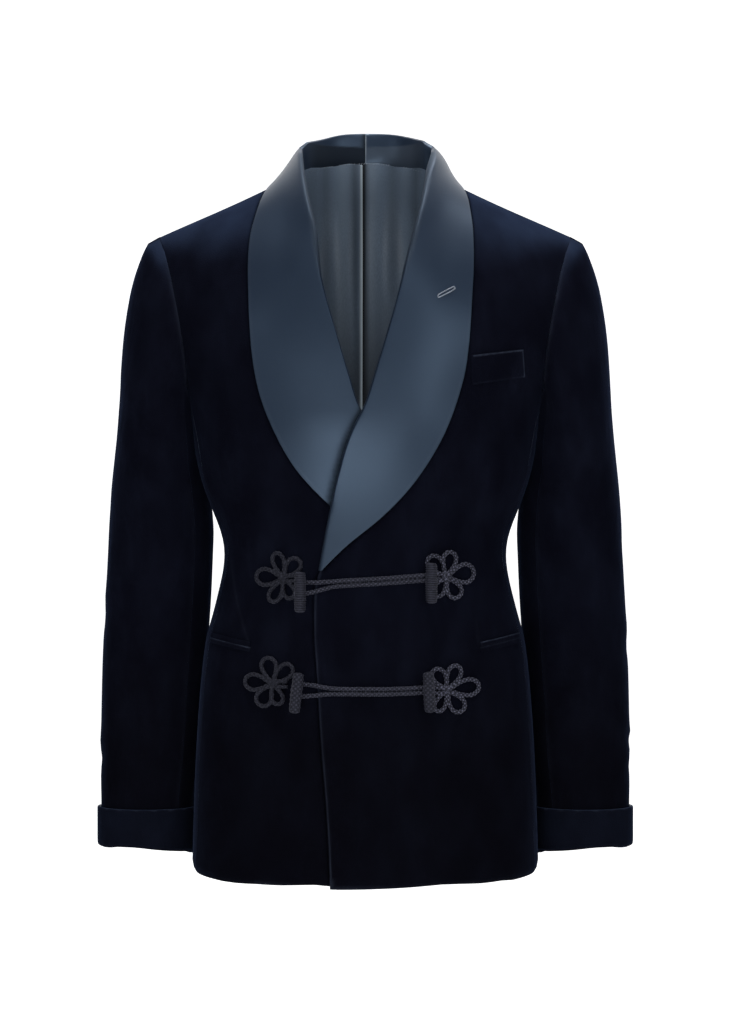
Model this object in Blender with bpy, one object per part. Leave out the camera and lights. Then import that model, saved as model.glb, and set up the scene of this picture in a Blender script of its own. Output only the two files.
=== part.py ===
"""Velvet double-breasted smoking jacket with a satin shawl collar and corded frog closures.

Metres, +Z up, front towards -Y, +X towards the wearer's left.  The origin lies on the centre
plane, inside the neck, at the height where the shoulder line leaves the collar.
"""
import math

import bmesh
import bpy
import numpy as np
from mathutils import Matrix, Vector

# Cloth and clearances
VELVET = 0.0020
SATIN = 0.0020
LINING = 0.0010
SEAM_HALF_GAP = 0.00015
LAYER_GAP = 0.0012
TRIM_GAP = 0.0004
FROG_GAP = 0.0009

# Hem heights
HEM_FRONT = -0.7113
HEM_SIDE = -0.7027
HEM_BACK = -0.7050
HEM_REACH = 0.180

# Torso form: how square the front and back sections are, how far the shoulder rolls over
FRONT_SQUARE = 2.2
BACK_SQUARE = 2.4
FRONT_ROLL = 0.160
BACK_ROLL = 0.130
SHOULDER_Y = 0.010


def even_slopes(keys, values):
    """Slopes at the rows of a table that keep the curve from swinging past its rows."""
    steps = np.diff(keys)
    rates = np.diff(values) / steps
    before, after = rates[:-1], rates[1:]
    near, far = 2.0 * steps[1:] + steps[:-1], steps[1:] + 2.0 * steps[:-1]
    same = before * after > 0.0
    mean = (near + far) / np.where(same, near / np.where(same, before, 1.0)
                                   + far / np.where(same, after, 1.0), 1.0)
    return np.concatenate([rates[:1], np.where(same, mean, 0.0), rates[-1:]])


class Table:
    """Rows of sizes under named columns, read as smooth curves along the first column."""

    def __init__(self, columns, rows):
        rows = sorted(rows)
        self.values = {name: np.array([row[i] for row in rows], float)
                       for i, name in enumerate(columns)}
        self.keys = self.values[columns[0]]

    def at(self, name, key):
        values = self.values[name]
        slopes = even_slopes(self.keys, values)
        key = np.clip(key, self.keys[0], self.keys[-1])
        low = np.clip(np.searchsorted(self.keys, key, side="right") - 1, 0, len(self.keys) - 2)
        span = self.keys[low + 1] - self.keys[low]
        t = (key - self.keys[low]) / span
        ease = t * t * (3.0 - 2.0 * t)
        return (values[low] * (1.0 - ease) + values[low + 1] * ease
                + span * slopes[low] * t * (1.0 - t) ** 2
                - span * slopes[low + 1] * t * t * (1.0 - t))


BODY = Table(("height", "half_width", "side_y", "front_y", "back_y"), [
    (-0.712, 0.1795, -0.012, -0.128, 0.118),
    (-0.593, 0.1755, -0.012, -0.127, 0.117),
    (-0.530, 0.1716, -0.012, -0.125, 0.113),
    (-0.468, 0.1650, -0.011, -0.121, 0.104),
    (-0.426, 0.1540, -0.010, -0.118, 0.096),
    (-0.385, 0.1468, -0.009, -0.117, 0.090),
    (-0.343, 0.1500, -0.007, -0.119, 0.092),
    (-0.322, 0.1632, -0.006, -0.121, 0.096),
    (-0.290, 0.1735, -0.004, -0.124, 0.101),
    (-0.245, 0.1800, -0.001, -0.128, 0.109),
    (-0.170, 0.2050, 0.004, -0.127, 0.116),
    (-0.120, 0.2180, 0.008, -0.123, 0.117),
    (-0.050, 0.2320, 0.010, -0.118, 0.114),
    (0.060, 0.2400, 0.010, -0.115, 0.112),
])

SHOULDER = Table(("out", "height"), [
    (-0.0300, 0.0510),
    (0.0000, 0.0560),
    (0.0300, 0.0510),
    (0.0550, 0.0350),
    (0.0745, 0.0165),
    (0.1019, 0.0020),
    (0.2137, -0.0480),
    (0.2600, -0.0687),
])
SHOULDER_TIP = (0.2137, -0.0480)

# Side body seams as angles round the torso from centre front and from centre back
SIDE_SEAM = Table(("height", "front_angle", "back_angle"), [
    (-0.712, 75.0, 55.0),
    (-0.530, 75.0, 52.0),
    (-0.385, 75.0, 50.0),
    (-0.300, 75.0, 56.0),
    (-0.190, 75.0, 68.0),
    (-0.150, 75.0, 70.0),
])

# Armhole: its lowest point, and where the side body's top corners meet it
ARMPIT = -0.245
ARMHOLE_FRONT_JOIN = -0.222
ARMHOLE_BACK_JOIN = -0.190

ARMHOLE_COLUMNS = ("height", "out")
ARMHOLE_FRONT_ROWS = [(-0.048, 0.2137), (-0.080, 0.2030), (-0.120, 0.1935), (-0.170, 0.1845)]
ARMHOLE_BACK_ROWS = [(-0.048, 0.2137), (-0.080, 0.2050), (-0.120, 0.1970), (-0.150, 0.1918)]

# Front edge below the lapel, on the wearer's left front
FRONT_EDGE = Table(("height", "x"), [
    (-0.712, -0.0338),
    (-0.684, -0.0348),
    (-0.641, -0.0368),
    (-0.599, -0.0403),
    (-0.542, -0.0445),
    (-0.496, -0.0472),
    (-0.453, -0.0499),
    (-0.426, -0.0500),
    (-0.408, -0.0494),
    (-0.3955, -0.0455),
    (-0.3880, -0.0422),
])

# How far the top front stands off the under front
LAP = Table(("height", "lift"), [
    (-0.712, 0.0034),
    (-0.450, 0.0036),
    (-0.425, 0.0046),
    (-0.403, 0.0064),
    (-0.360, 0.0067),
    (-0.220, 0.0067),
    (-0.130, 0.0032),
    (-0.060, 0.0000),
])
LAP_FULL = 0.050
LAP_ENDS = 0.150

# Shawl collar, from the point of the lapel to centre back.  The seam is where the collar
# leaves the panels, "half" tells front (-1), shoulder line (0) or back (1); rise is the
# height of the fold over the seam.
COLLAR_COLUMNS = ("station", "half", "seam_x", "seam_z", "outer_x", "outer_z",
                  "under_outer_x", "rise", "upright")
COLLAR_ROWS = [
    (0, -1, -0.0428, -0.3916, -0.0395, -0.3890, -0.0395, 0.0000, 0.00),
    (1, -1, -0.0359, -0.3545, -0.0165, -0.3662, -0.0145, 0.0000, 0.00),
    (2, -1, -0.0307, -0.3288, 0.0090, -0.3450, 0.0140, 0.0000, 0.00),
    (3, -1, -0.0223, -0.2929, 0.0435, -0.3095, 0.0515, 0.0000, 0.00),
    (4, -1, -0.0119, -0.2588, 0.0695, -0.2690, 0.0800, 0.0000, 0.00),
    (5, -1, 0.0018, -0.2320, 0.0870, -0.2290, 0.0990, 0.0000, 0.00),
    (6, -1, 0.0121, -0.2000, 0.0975, -0.1910, 0.1085, 0.0000, 0.00),
    (7, -1, 0.0231, -0.1635, 0.1019, -0.1560, 0.1125, 0.0000, 0.00),
    (8, -1, 0.0345, -0.1250, 0.1045, -0.1190, 0.1145, 0.0002, 0.00),
    (9, -1, 0.0440, -0.0880, 0.1068, -0.0790, 0.1155, 0.0008, 0.05),
    (10, -1, 0.0535, -0.0560, 0.1068, -0.0500, 0.1130, 0.0025, 0.15),
    (11, -1, 0.0625, -0.0300, 0.1052, -0.0295, 0.1085, 0.0060, 0.30),
    (12, -1, 0.0690, -0.0080, 0.1035, -0.0135, 0.1045, 0.0110, 0.50),
    (13, -1, 0.0735, 0.0090, 0.0985, -0.0005, 0.0985, 0.0185, 0.66),
    (14, 0, 0.0752, 0.0160, 0.0950, 0.0055, 0.0950, 0.0250, 0.76),
    (15, 1, 0.0735, 0.0160, 0.0925, 0.0045, 0.0925, 0.0265, 0.82),
    (16, 1, 0.0640, 0.0230, 0.0830, 0.0060, 0.0830, 0.0275, 0.86),
    (17, 1, 0.0450, 0.0300, 0.0600, 0.0115, 0.0600, 0.0280, 0.88),
    (18, 1, 0.0220, 0.0335, 0.0300, 0.0165, 0.0300, 0.0285, 0.90),
    (19, 1, 0.0000, 0.0345, 0.0000, 0.0180, 0.0000, 0.0285, 0.90),
]
COLLAR_RISE_STATION = 9
COLLAR_NECK_STATION = 14
COLLAR_FOLD_RADIUS = 0.0039
COLLAR_LIE = SATIN + LAYER_GAP
STAND_TUCK = 0.0030
STAND_EASE = 0.0016
NECK_INSET = 0.0012
NECK_INSET_FROM = -0.110
NECK_INSET_FULL = -0.040
ROLL_TUCK = 0.0012
ROLL_KNEE = 0.6
ROLL_BEGINS = math.radians(12.0)
FOLD_OPENS_MOST = 0.7

# Sleeve sections below the armhole
SLEEVE = Table(("height", "x", "half_x", "y", "half_y"), [
    (-0.300, 0.2173, 0.0469, 0.018, 0.0705),
    (-0.322, 0.2141, 0.0519, 0.022, 0.0675),
    (-0.345, 0.2137, 0.0543, 0.023, 0.0645),
    (-0.385, 0.2150, 0.0550, 0.025, 0.0604),
    (-0.430, 0.2173, 0.0553, 0.027, 0.0570),
    (-0.468, 0.2198, 0.0550, 0.028, 0.0540),
    (-0.530, 0.2231, 0.0536, 0.029, 0.0510),
    (-0.593, 0.2257, 0.0519, 0.028, 0.0480),
    (-0.640, 0.2281, 0.0486, 0.026, 0.0455),
    (-0.700, 0.2286, 0.0476, 0.022, 0.0440),
])
SLEEVE_TOP_RING = -0.300
SLEEVE_CUFF_RING = -0.640
SLEEVE_END = -0.6850
SLEEVE_TILT = 0.0055
SLEEVE_FRONT_SEAM = math.radians(133.0)
SLEEVE_BACK_SEAM = math.radians(240.0)
SLEEVE_STANDOFF = 0.0005

# Ease of the sleeve where it leaves the armhole and where it meets the first ring
SLEEVE_LEAVES = {"top": (0.148, 0.0, -0.045), "front": (0.050, -0.030, -0.050),
                 "back": (0.050, 0.030, -0.050), "bottom": (0.004, 0.0, -0.050)}
SLEEVE_ARRIVES = {"top": (0.045, 0.0, -0.300), "front": (0.010, 0.0, -0.170),
                  "back": (0.010, 0.0, -0.170), "bottom": (-0.024, 0.0, -0.055)}
SLEEVE_FACES = {"top": (0.40, 0.0, 0.90), "front": (0.50, -0.86, 0.0),
                "back": (0.50, 0.86, 0.0), "bottom": (1.0, 0.0, 0.0)}

CUFF_TOP = -0.6430
CUFF_OVERHANG = 0.0012
CUFF_GAP = 0.0012
CUFF_THICK = 0.0030
# The cuff's outer face from its top to its fold: share of its height, how far it is drawn in
CUFF_PROFILE = (("share", "inset"), [
    (0.0, 0.0008), (0.04, 0.0), (0.50, 0.0), (0.93, 0.0), (1.0, 0.0012)])

# Back lining, hung inside the back, with a pleat at centre back
LINING_INSIDE = 0.0046
LINING_BOTTOM = -0.690
LINING_SIDE = 0.94
STAND_CLEAR = 0.060
SHOULDER_CLEAR = 0.26
SHOULDER_CLEAR_FROM = 0.035
SHOULDER_CLEAR_FULL = 0.085
PLEAT_UNDER = 0.0070
PLEAT_OVER = 0.0015
PLEAT_LIFT = 0.0024
PLEAT_WIDTH = 0.016

# Pockets on the fronts: corners as (x, z)
CHEST_WELT = {"low_inner": (0.1060, -0.2070), "low_outer": (0.1600, -0.1975),
              "high_inner": (0.1060, -0.1790), "high_outer": (0.1580, -0.1715)}
CHEST_WELT_THICK = 0.0016
HIP_INNER = (0.1160, -0.4710)
HIP_OUTER = (0.1560, -0.4635)
JET_HIGH = 0.0048
JET_THICK = 0.0012

# Frog closures
CORD_RADIUS = 0.0023
LOOP_RADIUS = 0.0025
HUB_RADIUS = 0.0055
PETAL_HALF_WIDTH = 0.0072
PETALS = (("angle", "length"), [
    (120.0, 0.0255), (77.0, 0.0275), (4.0, 0.0325), (-65.0, 0.0280), (-108.0, 0.0255)])
# One petal's loop: share of its length from the centre, share of its half width
PETAL_OUTLINE = ((0.13, 0.22), (0.44, 0.80), (0.75, 1.00), (0.97, 0.46),
                 (0.97, -0.46), (0.75, -1.00), (0.44, -0.80), (0.13, -0.22))
BARREL_LENGTH = 0.0400
BARREL_RADIUS = 0.0058
ROSETTES = {"upper_left": (0.0802, -0.3991), "lower_left": (0.0829, -0.5098),
            "upper_right": (-0.0828, -0.4018), "lower_right": (-0.0920, -0.5057)}
# A barrel's outline: share of its half length, share of its radius
BARREL_PROFILE = (("share", "width"), [
    (-1.0, 0.55), (-0.93, 0.81), (-0.80, 0.92), (0.0, 1.0), (0.80, 0.92), (0.93, 0.81), (1.0, 0.55)])
# Barrels and toggles: x, z, tilt in degrees, how far each settles between the cords
BARRELS = {"upper_left": (0.0658, -0.4060, 0.0, 0.00105),
           "lower_left": (0.0628, -0.5149, 2.0, 0.00075),
           "upper_right": (-0.0660, -0.4160, 0.0, 0.00095),
           "lower_right": (-0.0688, -0.5160, -3.0, 0.00085)}
# Double cords: where they start, draw together, part and end round the toggles (x, z, half spread)
CORDS = {
    "upper": [(0.0690, -0.4000, 0.0032), (0.0550, -0.4010, 0.0028), (0.0200, -0.4035, 0.0028),
              (-0.0222, -0.4060, 0.0028), (-0.0400, -0.4078, 0.0030), (-0.0500, -0.4098, 0.0042),
              (-0.0590, -0.4112, 0.0058), (-0.0660, -0.4122, 0.0056)],
    "lower": [(0.0670, -0.5120, 0.0032), (0.0550, -0.5128, 0.0028), (0.0200, -0.5140, 0.0028),
              (-0.0222, -0.5138, 0.0028), (-0.0400, -0.5135, 0.0030), (-0.0500, -0.5132, 0.0044),
              (-0.0600, -0.5130, 0.0062), (-0.0680, -0.5130, 0.0058)],
}

# Where the search for a panel's two edges starts
LEFT_START = 0.02
RIGHT_START = 0.15

# Mesh steps
FRONT_COLUMNS = 11
SIDE_COLUMNS = 5
BACK_COLUMN_SHARES = (0.0, 0.050, 0.113, 0.173, 0.222, 0.336, 0.489, 0.668, 0.807, 1.0)
BACK_COLUMNS = len(BACK_COLUMN_SHARES) - 1
SKIRT_ROWS = 15
ROLL_ROWS = 8
WAIST_GATHER = 0.40
LINING_COLUMNS = 7
LINING_ROWS = 12
TOP_SLEEVE_COLUMNS = 12
UNDER_SLEEVE_COLUMNS = 5
CAP_ROWS = 7
ARM_ROWS = 9
CUFF_COLUMNS = 18
COLLAR_STATIONS = 26
STAND_STEPS = 2
FOLD_STEPS = 3
FALL_STEPS = 4
CORD_STEPS = 2
BARREL_SIDES = 8
CORD_ROUNDNESS = 1
HUB_SEGMENTS = 8
HUB_RINGS = 5
CAP_GATHER = 1.25
ARMHOLE_STEPS = 80
ARMPIT_STEPS = 30
WELT_COLUMNS = 7
WELT_ROWS = 2
JET_COLUMNS = 6
JET_ROWS = 1


def unit(vectors):
    return vectors / np.linalg.norm(vectors, axis=-1, keepdims=True)


def smooth(low, high, value):
    t = np.clip((value - low) / (high - low), 0.0, 1.0)
    return t * t * (3.0 - 2.0 * t)


def points(x, y, z):
    return np.stack(np.broadcast_arrays(x, y, z), axis=-1).astype(float)


# The torso form

def torso_x(angle, height):
    """Distance out from the centre plane at an angle round the torso (0 centre front)."""
    turn = np.abs(angle)
    power = np.where(turn <= math.pi / 2, 2.0 / FRONT_SQUARE, 2.0 / BACK_SQUARE)
    return np.sign(angle) * BODY.at("half_width", height) * np.sin(turn) ** power


def torso_y(x, angle, height):
    front = np.abs(angle) <= math.pi / 2
    power = np.where(front, 2.0 / FRONT_SQUARE, 2.0 / BACK_SQUARE)
    side = BODY.at("side_y", height)
    face = np.where(front, BODY.at("front_y", height), BODY.at("back_y", height))
    full = side + (face - side) * np.abs(np.cos(angle)) ** power
    roll = np.where(front, FRONT_ROLL, BACK_ROLL)
    near = np.clip((SHOULDER.at("height", np.abs(x)) - height) / roll, 0.0, 1.0)
    return SHOULDER_Y + (full - SHOULDER_Y) * np.sqrt(1.0 - (1.0 - near) ** 2)


def front_angle(x, height):
    share = np.clip(np.abs(x) / BODY.at("half_width", height), 0.0, 1.0)
    return np.sign(x) * np.arcsin(share ** (FRONT_SQUARE / 2.0))


def back_angle(x, height):
    share = np.clip(np.abs(x) / BODY.at("half_width", height), 0.0, 1.0)
    side = np.where(np.asarray(x) < 0.0, -1.0, 1.0)
    return side * (math.pi - np.arcsin(share ** (BACK_SQUARE / 2.0)))


def torso(angle, height):
    x = torso_x(angle, height)
    return points(x, torso_y(x, angle, height), height)


def seam_out(half, height):
    """Distance out of a panel's edge at the side body's front or back seam."""
    if half < 0:
        angle = np.radians(SIDE_SEAM.at("front_angle", height))
    else:
        angle = math.pi - np.radians(SIDE_SEAM.at("back_angle", height))
    return torso_x(angle, height) - SEAM_HALF_GAP


ARMHOLE_FRONT = Table(ARMHOLE_COLUMNS, ARMHOLE_FRONT_ROWS
                      + [(ARMHOLE_FRONT_JOIN, float(seam_out(-1, ARMHOLE_FRONT_JOIN)))])
ARMHOLE_BACK = Table(ARMHOLE_COLUMNS, ARMHOLE_BACK_ROWS
                     + [(ARMHOLE_BACK_JOIN, float(seam_out(1, ARMHOLE_BACK_JOIN)))])


def lap_lift(x, height):
    return LAP.at("lift", height) * (1.0 - smooth(LAP_FULL, LAP_ENDS, x))


def front_surface(x, height, on_top):
    """Outer face of a front at x and height; the top front stands off where it laps."""
    y = torso_y(x, front_angle(x, height), height)
    return points(x, y - (lap_lift(x, height) if on_top else 0.0), height)


def turn_of(x, height, half):
    """Angle over the shoulder: 0 on the shoulder line, minus in front, plus behind."""
    roll = np.where(half < 0, FRONT_ROLL, BACK_ROLL)
    drop = np.maximum(SHOULDER.at("height", np.abs(x)) - height, 0.0) / roll
    bend = np.arccos(np.clip(1.0 - drop, 0.0, 1.0)) + np.maximum(drop - 1.0, 0.0)
    return half * bend


def over_height(x, turn):
    roll = np.where(turn < 0.0, FRONT_ROLL, BACK_ROLL)
    bend = np.minimum(np.abs(turn), math.pi / 2)
    drop = roll * (1.0 - np.cos(bend)) + roll * (np.abs(turn) - bend)
    return SHOULDER.at("height", np.abs(x)) - drop


def over_shoulder(x, turn, on_top):
    """Point of the torso reached by the angle over the shoulder."""
    height = over_height(x, turn)
    angle = np.where(turn < 0.0, front_angle(x, height), back_angle(x, height))
    y = torso_y(x, angle, height)
    if on_top:
        y = y - np.where(turn < 0.0, lap_lift(x, height), 0.0)
    return points(x, y, height)


def facing(surface, a, b, step=2e-4):
    """Unit normal of a two-way surface, by differences."""
    across = surface(a + step, b) - surface(a - step, b)
    along = surface(a, b + step) - surface(a, b - step)
    return unit(np.cross(across, along))


# Mesh making

MATERIALS = {
    "velvet": ((0.010, 0.012, 0.026, 1.0), 0.90),
    "satin": ((0.045, 0.062, 0.095, 1.0), 0.38),
    "lining": ((0.060, 0.078, 0.105, 1.0), 0.45),
    "cord": ((0.018, 0.019, 0.027, 1.0), 0.70),
}


def material(name):
    found = bpy.data.materials.get(name)
    if found:
        return found
    colour, roughness = MATERIALS[name]
    made = bpy.data.materials.new(name)
    made.use_nodes = True
    made.diffuse_color = colour
    shader = made.node_tree.nodes["Principled BSDF"]
    shader.inputs["Base Color"].default_value = colour
    shader.inputs["Roughness"].default_value = roughness
    return made


def place(name, bm, cloth):
    mesh = bpy.data.meshes.new(name)
    bmesh.ops.recalc_face_normals(bm, faces=bm.faces[:])
    bm.to_mesh(mesh)
    bm.free()
    mesh.materials.append(material(cloth))
    made = bpy.data.objects.new(name, mesh)
    bpy.context.scene.collection.objects.link(made)
    return made


def grid_normals(grid):
    along = np.gradient(grid, axis=0, edge_order=2)
    across = np.gradient(grid, axis=1, edge_order=2)
    return unit(np.cross(across, along))


def wall(name, face, back, cloth, ring=False):
    """Closed solid between two grids of points; ring closes it round its columns."""
    rows, columns = face.shape[:2]
    bm = bmesh.new()
    sides = [[[bm.verts.new(p) for p in row] for row in grid] for grid in (face, back)]
    count = columns if ring else columns - 1
    top, under = sides
    for i in range(rows - 1):
        for j in range(count):
            k = (j + 1) % columns
            rising = np.linalg.norm(face[i][j] - face[i + 1][k])
            falling = np.linalg.norm(face[i][k] - face[i + 1][j])
            for grid in sides:
                a, b, c, d = grid[i][j], grid[i][k], grid[i + 1][k], grid[i + 1][j]
                halves = ((a, b, c), (a, c, d)) if rising <= falling else ((a, b, d), (b, c, d))
                for half in halves:
                    bm.faces.new(half if grid is top else half[::-1])
    for i in (0, rows - 1):
        for j in range(count):
            k = (j + 1) % columns
            bm.faces.new([top[i][j], top[i][k], under[i][k], under[i][j]])
    if not ring:
        for j in (0, columns - 1):
            for i in range(rows - 1):
                bm.faces.new([top[i][j], top[i + 1][j], under[i + 1][j], under[i][j]])
    return place(name, bm, cloth)


# Body panels

COLLAR = Table(COLLAR_COLUMNS, COLLAR_ROWS)
ROLL_LINE = Table(("height", "x"), [(row[3], row[2]) for row in COLLAR_ROWS if row[1] < 1])


def inner_edge(height):
    """Front panel's edge: front edge below the lapel, roll line above."""
    low = FRONT_EDGE.keys[-1]
    roll = ROLL_LINE.at("x", height) + NECK_INSET * smooth(NECK_INSET_FROM, NECK_INSET_FULL, height)
    return np.where(height < low, FRONT_EDGE.at("x", height), roll)


def front_outer_edge(height):
    return np.where(height < ARMHOLE_FRONT_JOIN, seam_out(-1, height),
                    ARMHOLE_FRONT.at("out", height))


def back_outer_edge(height):
    return np.where(height < ARMHOLE_BACK_JOIN, seam_out(1, height),
                    ARMHOLE_BACK.at("out", height))


def hem_height(x, hem):
    return hem + (HEM_SIDE - hem) * np.clip(np.abs(x) / HEM_REACH, 0.0, 1.0) ** 2


def gather(share):
    """Draws panel rows together about the waist, where the form turns in."""
    return share + WAIST_GATHER * np.sin(2.0 * math.pi * share) / (2.0 * math.pi)


def level(x, v, half, last_turn, low):
    """Height of a panel row: from the low edge to the armhole's join, then over the shoulder."""
    join = ARMHOLE_FRONT_JOIN if half < 0 else ARMHOLE_BACK_JOIN
    share = SKIRT_ROWS / (SKIRT_ROWS + ROLL_ROWS)
    climb = low + (join - low) * gather(np.clip(v / share, 0.0, 1.0))
    first = np.abs(turn_of(x, join, half))
    bend = first + (last_turn - first) * np.clip((v - share) / (1.0 - share), 0.0, 1.0)
    return np.where(v <= share, climb, over_height(x, half * bend))


def settle(rule, start, rounds=80):
    x = start
    for _ in range(rounds):
        x = 0.5 * x + 0.5 * rule(x)
    return x


def neck_turn(x):
    """Where the back panel stops: the shoulder line, or the back neck inside it."""
    seam = [row for row in COLLAR_ROWS if row[1] >= 0]
    turns = [float(turn_of(row[2], row[3], row[1])) for row in seam]
    rim = Table(("x", "turn"), [(row[2], turn) for row, turn in zip(seam, turns)])
    gap = SEAM_HALF_GAP / (BODY.at("back_y", 0.0) - SHOULDER_Y)
    return np.maximum(np.where(np.abs(x) < rim.keys[-1], rim.at("turn", np.abs(x)), 0.0), gap)


def front_gap_turn(x):
    return np.full_like(np.asarray(x, float), SEAM_HALF_GAP / (SHOULDER_Y - BODY.at("front_y", 0.0)))


def panel_grid(half, columns, left_rule, right_rule, last_turn, low_rule):
    """x and height of each point of a front or back panel."""
    angle_of = front_angle if half < 0 else back_angle
    v = np.linspace(0.0, 1.0, SKIRT_ROWS + ROLL_ROWS + 1)
    height_at = lambda x, at: level(x, at, half, last_turn(x), low_rule(x))
    left = settle(lambda x: left_rule(height_at(x, v)), np.full_like(v, LEFT_START))
    right = settle(lambda x: right_rule(height_at(x, v)), np.full_like(v, RIGHT_START))
    first = angle_of(left, height_at(left, v))
    last = angle_of(right, height_at(right, v))
    u = np.linspace(0.0, 1.0, columns + 1)
    if half > 0:
        u = np.array(BACK_COLUMN_SHARES)
    angle = first[:, None] + (last - first)[:, None] * u[None, :]
    start = left[:, None] + (right - left)[:, None] * u[None, :]
    x = settle(lambda x: torso_x(angle, height_at(x, v[:, None])), start)
    x[:, 0] = left
    x[:, -1] = right
    return x, height_at(x, v[:, None])


def shell(name, face, out, thickness, cloth, mirror):
    """Wall of even thickness behind a face whose outward directions are known."""
    flip = np.array((-1.0 if mirror else 1.0, 1.0, 1.0))
    return wall(name, face * flip, (face - out * thickness) * flip, cloth)


def make_fronts():
    low = lambda x: hem_height(x, HEM_FRONT)
    x, height = panel_grid(-1, FRONT_COLUMNS, inner_edge, front_outer_edge, front_gap_turn, low)
    for side, on_top in (("left", True), ("right", False)):
        surface = lambda a, b: over_shoulder(a, b, on_top)
        turn = turn_of(x, height, -1)
        shell("front_" + side, surface(x, turn), facing(surface, x, turn), VELVET, "velvet",
              mirror=not on_top)


def make_backs():
    centre = lambda height: np.full_like(height, SEAM_HALF_GAP)
    low = lambda x: hem_height(x, HEM_BACK)
    x, height = panel_grid(1, BACK_COLUMNS, centre, back_outer_edge, neck_turn, low)
    surface = lambda a, b: over_shoulder(a, b, False)
    turn = turn_of(x, height, 1)
    for side in ("left", "right"):
        shell("back_" + side, surface(x, turn), facing(surface, x, turn), VELVET, "velvet",
              mirror=side == "right")


def side_top(angle):
    """Height of the side body's top edge, the bottom of the armhole."""
    away = angle - math.pi / 2
    front_reach = math.radians(90.0 - SIDE_SEAM.at("front_angle", ARMHOLE_FRONT_JOIN))
    back_reach = math.radians(90.0 - SIDE_SEAM.at("back_angle", ARMHOLE_BACK_JOIN))
    rise = np.where(away < 0.0, ARMHOLE_FRONT_JOIN - ARMPIT, ARMHOLE_BACK_JOIN - ARMPIT)
    reach = np.where(away < 0.0, front_reach, back_reach)
    return ARMPIT + rise * (away / reach) ** 2


def side_angle(u, height):
    front = np.radians(SIDE_SEAM.at("front_angle", height))
    back = math.pi - np.radians(SIDE_SEAM.at("back_angle", height))
    inset = SEAM_HALF_GAP / BODY.at("back_y", height)
    return front + inset + (back - front - 2.0 * inset) * u


def make_sides():
    u = np.linspace(0.0, 1.0, SIDE_COLUMNS + 1)[None, :]
    v = np.linspace(0.0, 1.0, SKIRT_ROWS + 1)[:, None]
    top = settle(lambda height: side_top(side_angle(u, height)), np.full_like(u, ARMPIT))
    foot = torso_x(side_angle(u, HEM_SIDE), HEM_SIDE)
    low = hem_height(foot, HEM_FRONT) * (1.0 - u) + hem_height(foot, HEM_BACK) * u
    height = low + (top - low) * gather(v)
    angle = side_angle(u, height)
    for side in ("left", "right"):
        shell("side_" + side, torso(angle, height), facing(torso, angle, height), VELVET, "velvet",
              mirror=side == "right")


# Sleeves

def armhole_points(angles):
    """Armhole at angles round it: 0 at the shoulder tip, on through front, armpit and back."""
    ease = 1.0 - np.cos(np.linspace(0.0, math.pi / 2, ARMHOLE_STEPS))
    tip = SHOULDER_TIP[1]
    front_z = tip + (ARMHOLE_FRONT_JOIN - tip) * ease
    back_z = tip + (ARMHOLE_BACK_JOIN - tip) * ease
    front = front_surface(ARMHOLE_FRONT.at("out", front_z), front_z, False)
    back_x = ARMHOLE_BACK.at("out", back_z)
    back = torso(back_angle(back_x, back_z), back_z)
    first = math.radians(SIDE_SEAM.at("front_angle", ARMHOLE_FRONT_JOIN))
    last = math.pi - math.radians(SIDE_SEAM.at("back_angle", ARMHOLE_BACK_JOIN))
    fore = np.linspace(first, math.pi / 2, ARMPIT_STEPS)
    aft = np.linspace(math.pi / 2, last, ARMPIT_STEPS)
    front_half = np.concatenate([front, torso(fore, side_top(fore))])
    back_half = np.concatenate([back, torso(aft[::-1], side_top(aft[::-1]))])
    made = []
    for angle in angles:
        turn = angle % (2.0 * math.pi)
        path, share = (front_half, turn / math.pi)
        if turn > math.pi:
            path, share = (back_half, 2.0 - turn / math.pi)
        steps = np.linalg.norm(np.diff(path, axis=0), axis=1)
        run = np.concatenate([[0.0], np.cumsum(steps)])
        made.append([np.interp(share * run[-1], run, path[:, i]) for i in range(3)])
    return np.array(made)


def round_armhole(sizes, angles):
    """Blend of the four vectors for top, front, back and bottom of the armhole."""
    cos, sin = np.cos(angles), np.sin(angles)
    shares = {"top": np.maximum(cos, 0.0) ** 2, "bottom": np.maximum(-cos, 0.0) ** 2,
              "front": np.maximum(sin, 0.0) ** 2, "back": np.maximum(-sin, 0.0) ** 2}
    return sum(shares[name][:, None] * np.array(sizes[name]) for name in shares)


def sleeve_ring(angles, height, offset=0.0):
    x = SLEEVE.at("x", height) + (SLEEVE.at("half_x", height) + offset) * np.cos(angles)
    y = SLEEVE.at("y", height) - (SLEEVE.at("half_y", height) + offset) * np.sin(angles)
    return points(x, y, height)


def sleeve_end(angles):
    return SLEEVE_END + SLEEVE_TILT * np.cos(angles)


def sleeve_grid(angles):
    leaves = round_armhole(SLEEVE_LEAVES, angles)
    arrives = round_armhole(SLEEVE_ARRIVES, angles)
    faces = unit(round_armhole(SLEEVE_FACES, angles))
    start = armhole_points(angles) + SLEEVE_STANDOFF * (unit(leaves) + faces)
    ring = sleeve_ring(angles, np.full_like(angles, SLEEVE_TOP_RING))
    rows = []
    for i in range(CAP_ROWS):
        t = (i / CAP_ROWS) ** CAP_GATHER
        ease = t * t * (3.0 - 2.0 * t)
        rows.append(start * (1.0 - ease) + ring * ease
                    + leaves * t * (1.0 - t) ** 2 - arrives * t * t * (1.0 - t))
    for height in np.linspace(SLEEVE_TOP_RING, SLEEVE_CUFF_RING, ARM_ROWS + 1):
        rows.append(sleeve_ring(angles, np.full_like(angles, height)))
    rows.append(sleeve_ring(angles, sleeve_end(angles)))
    return np.array(rows)


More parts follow.
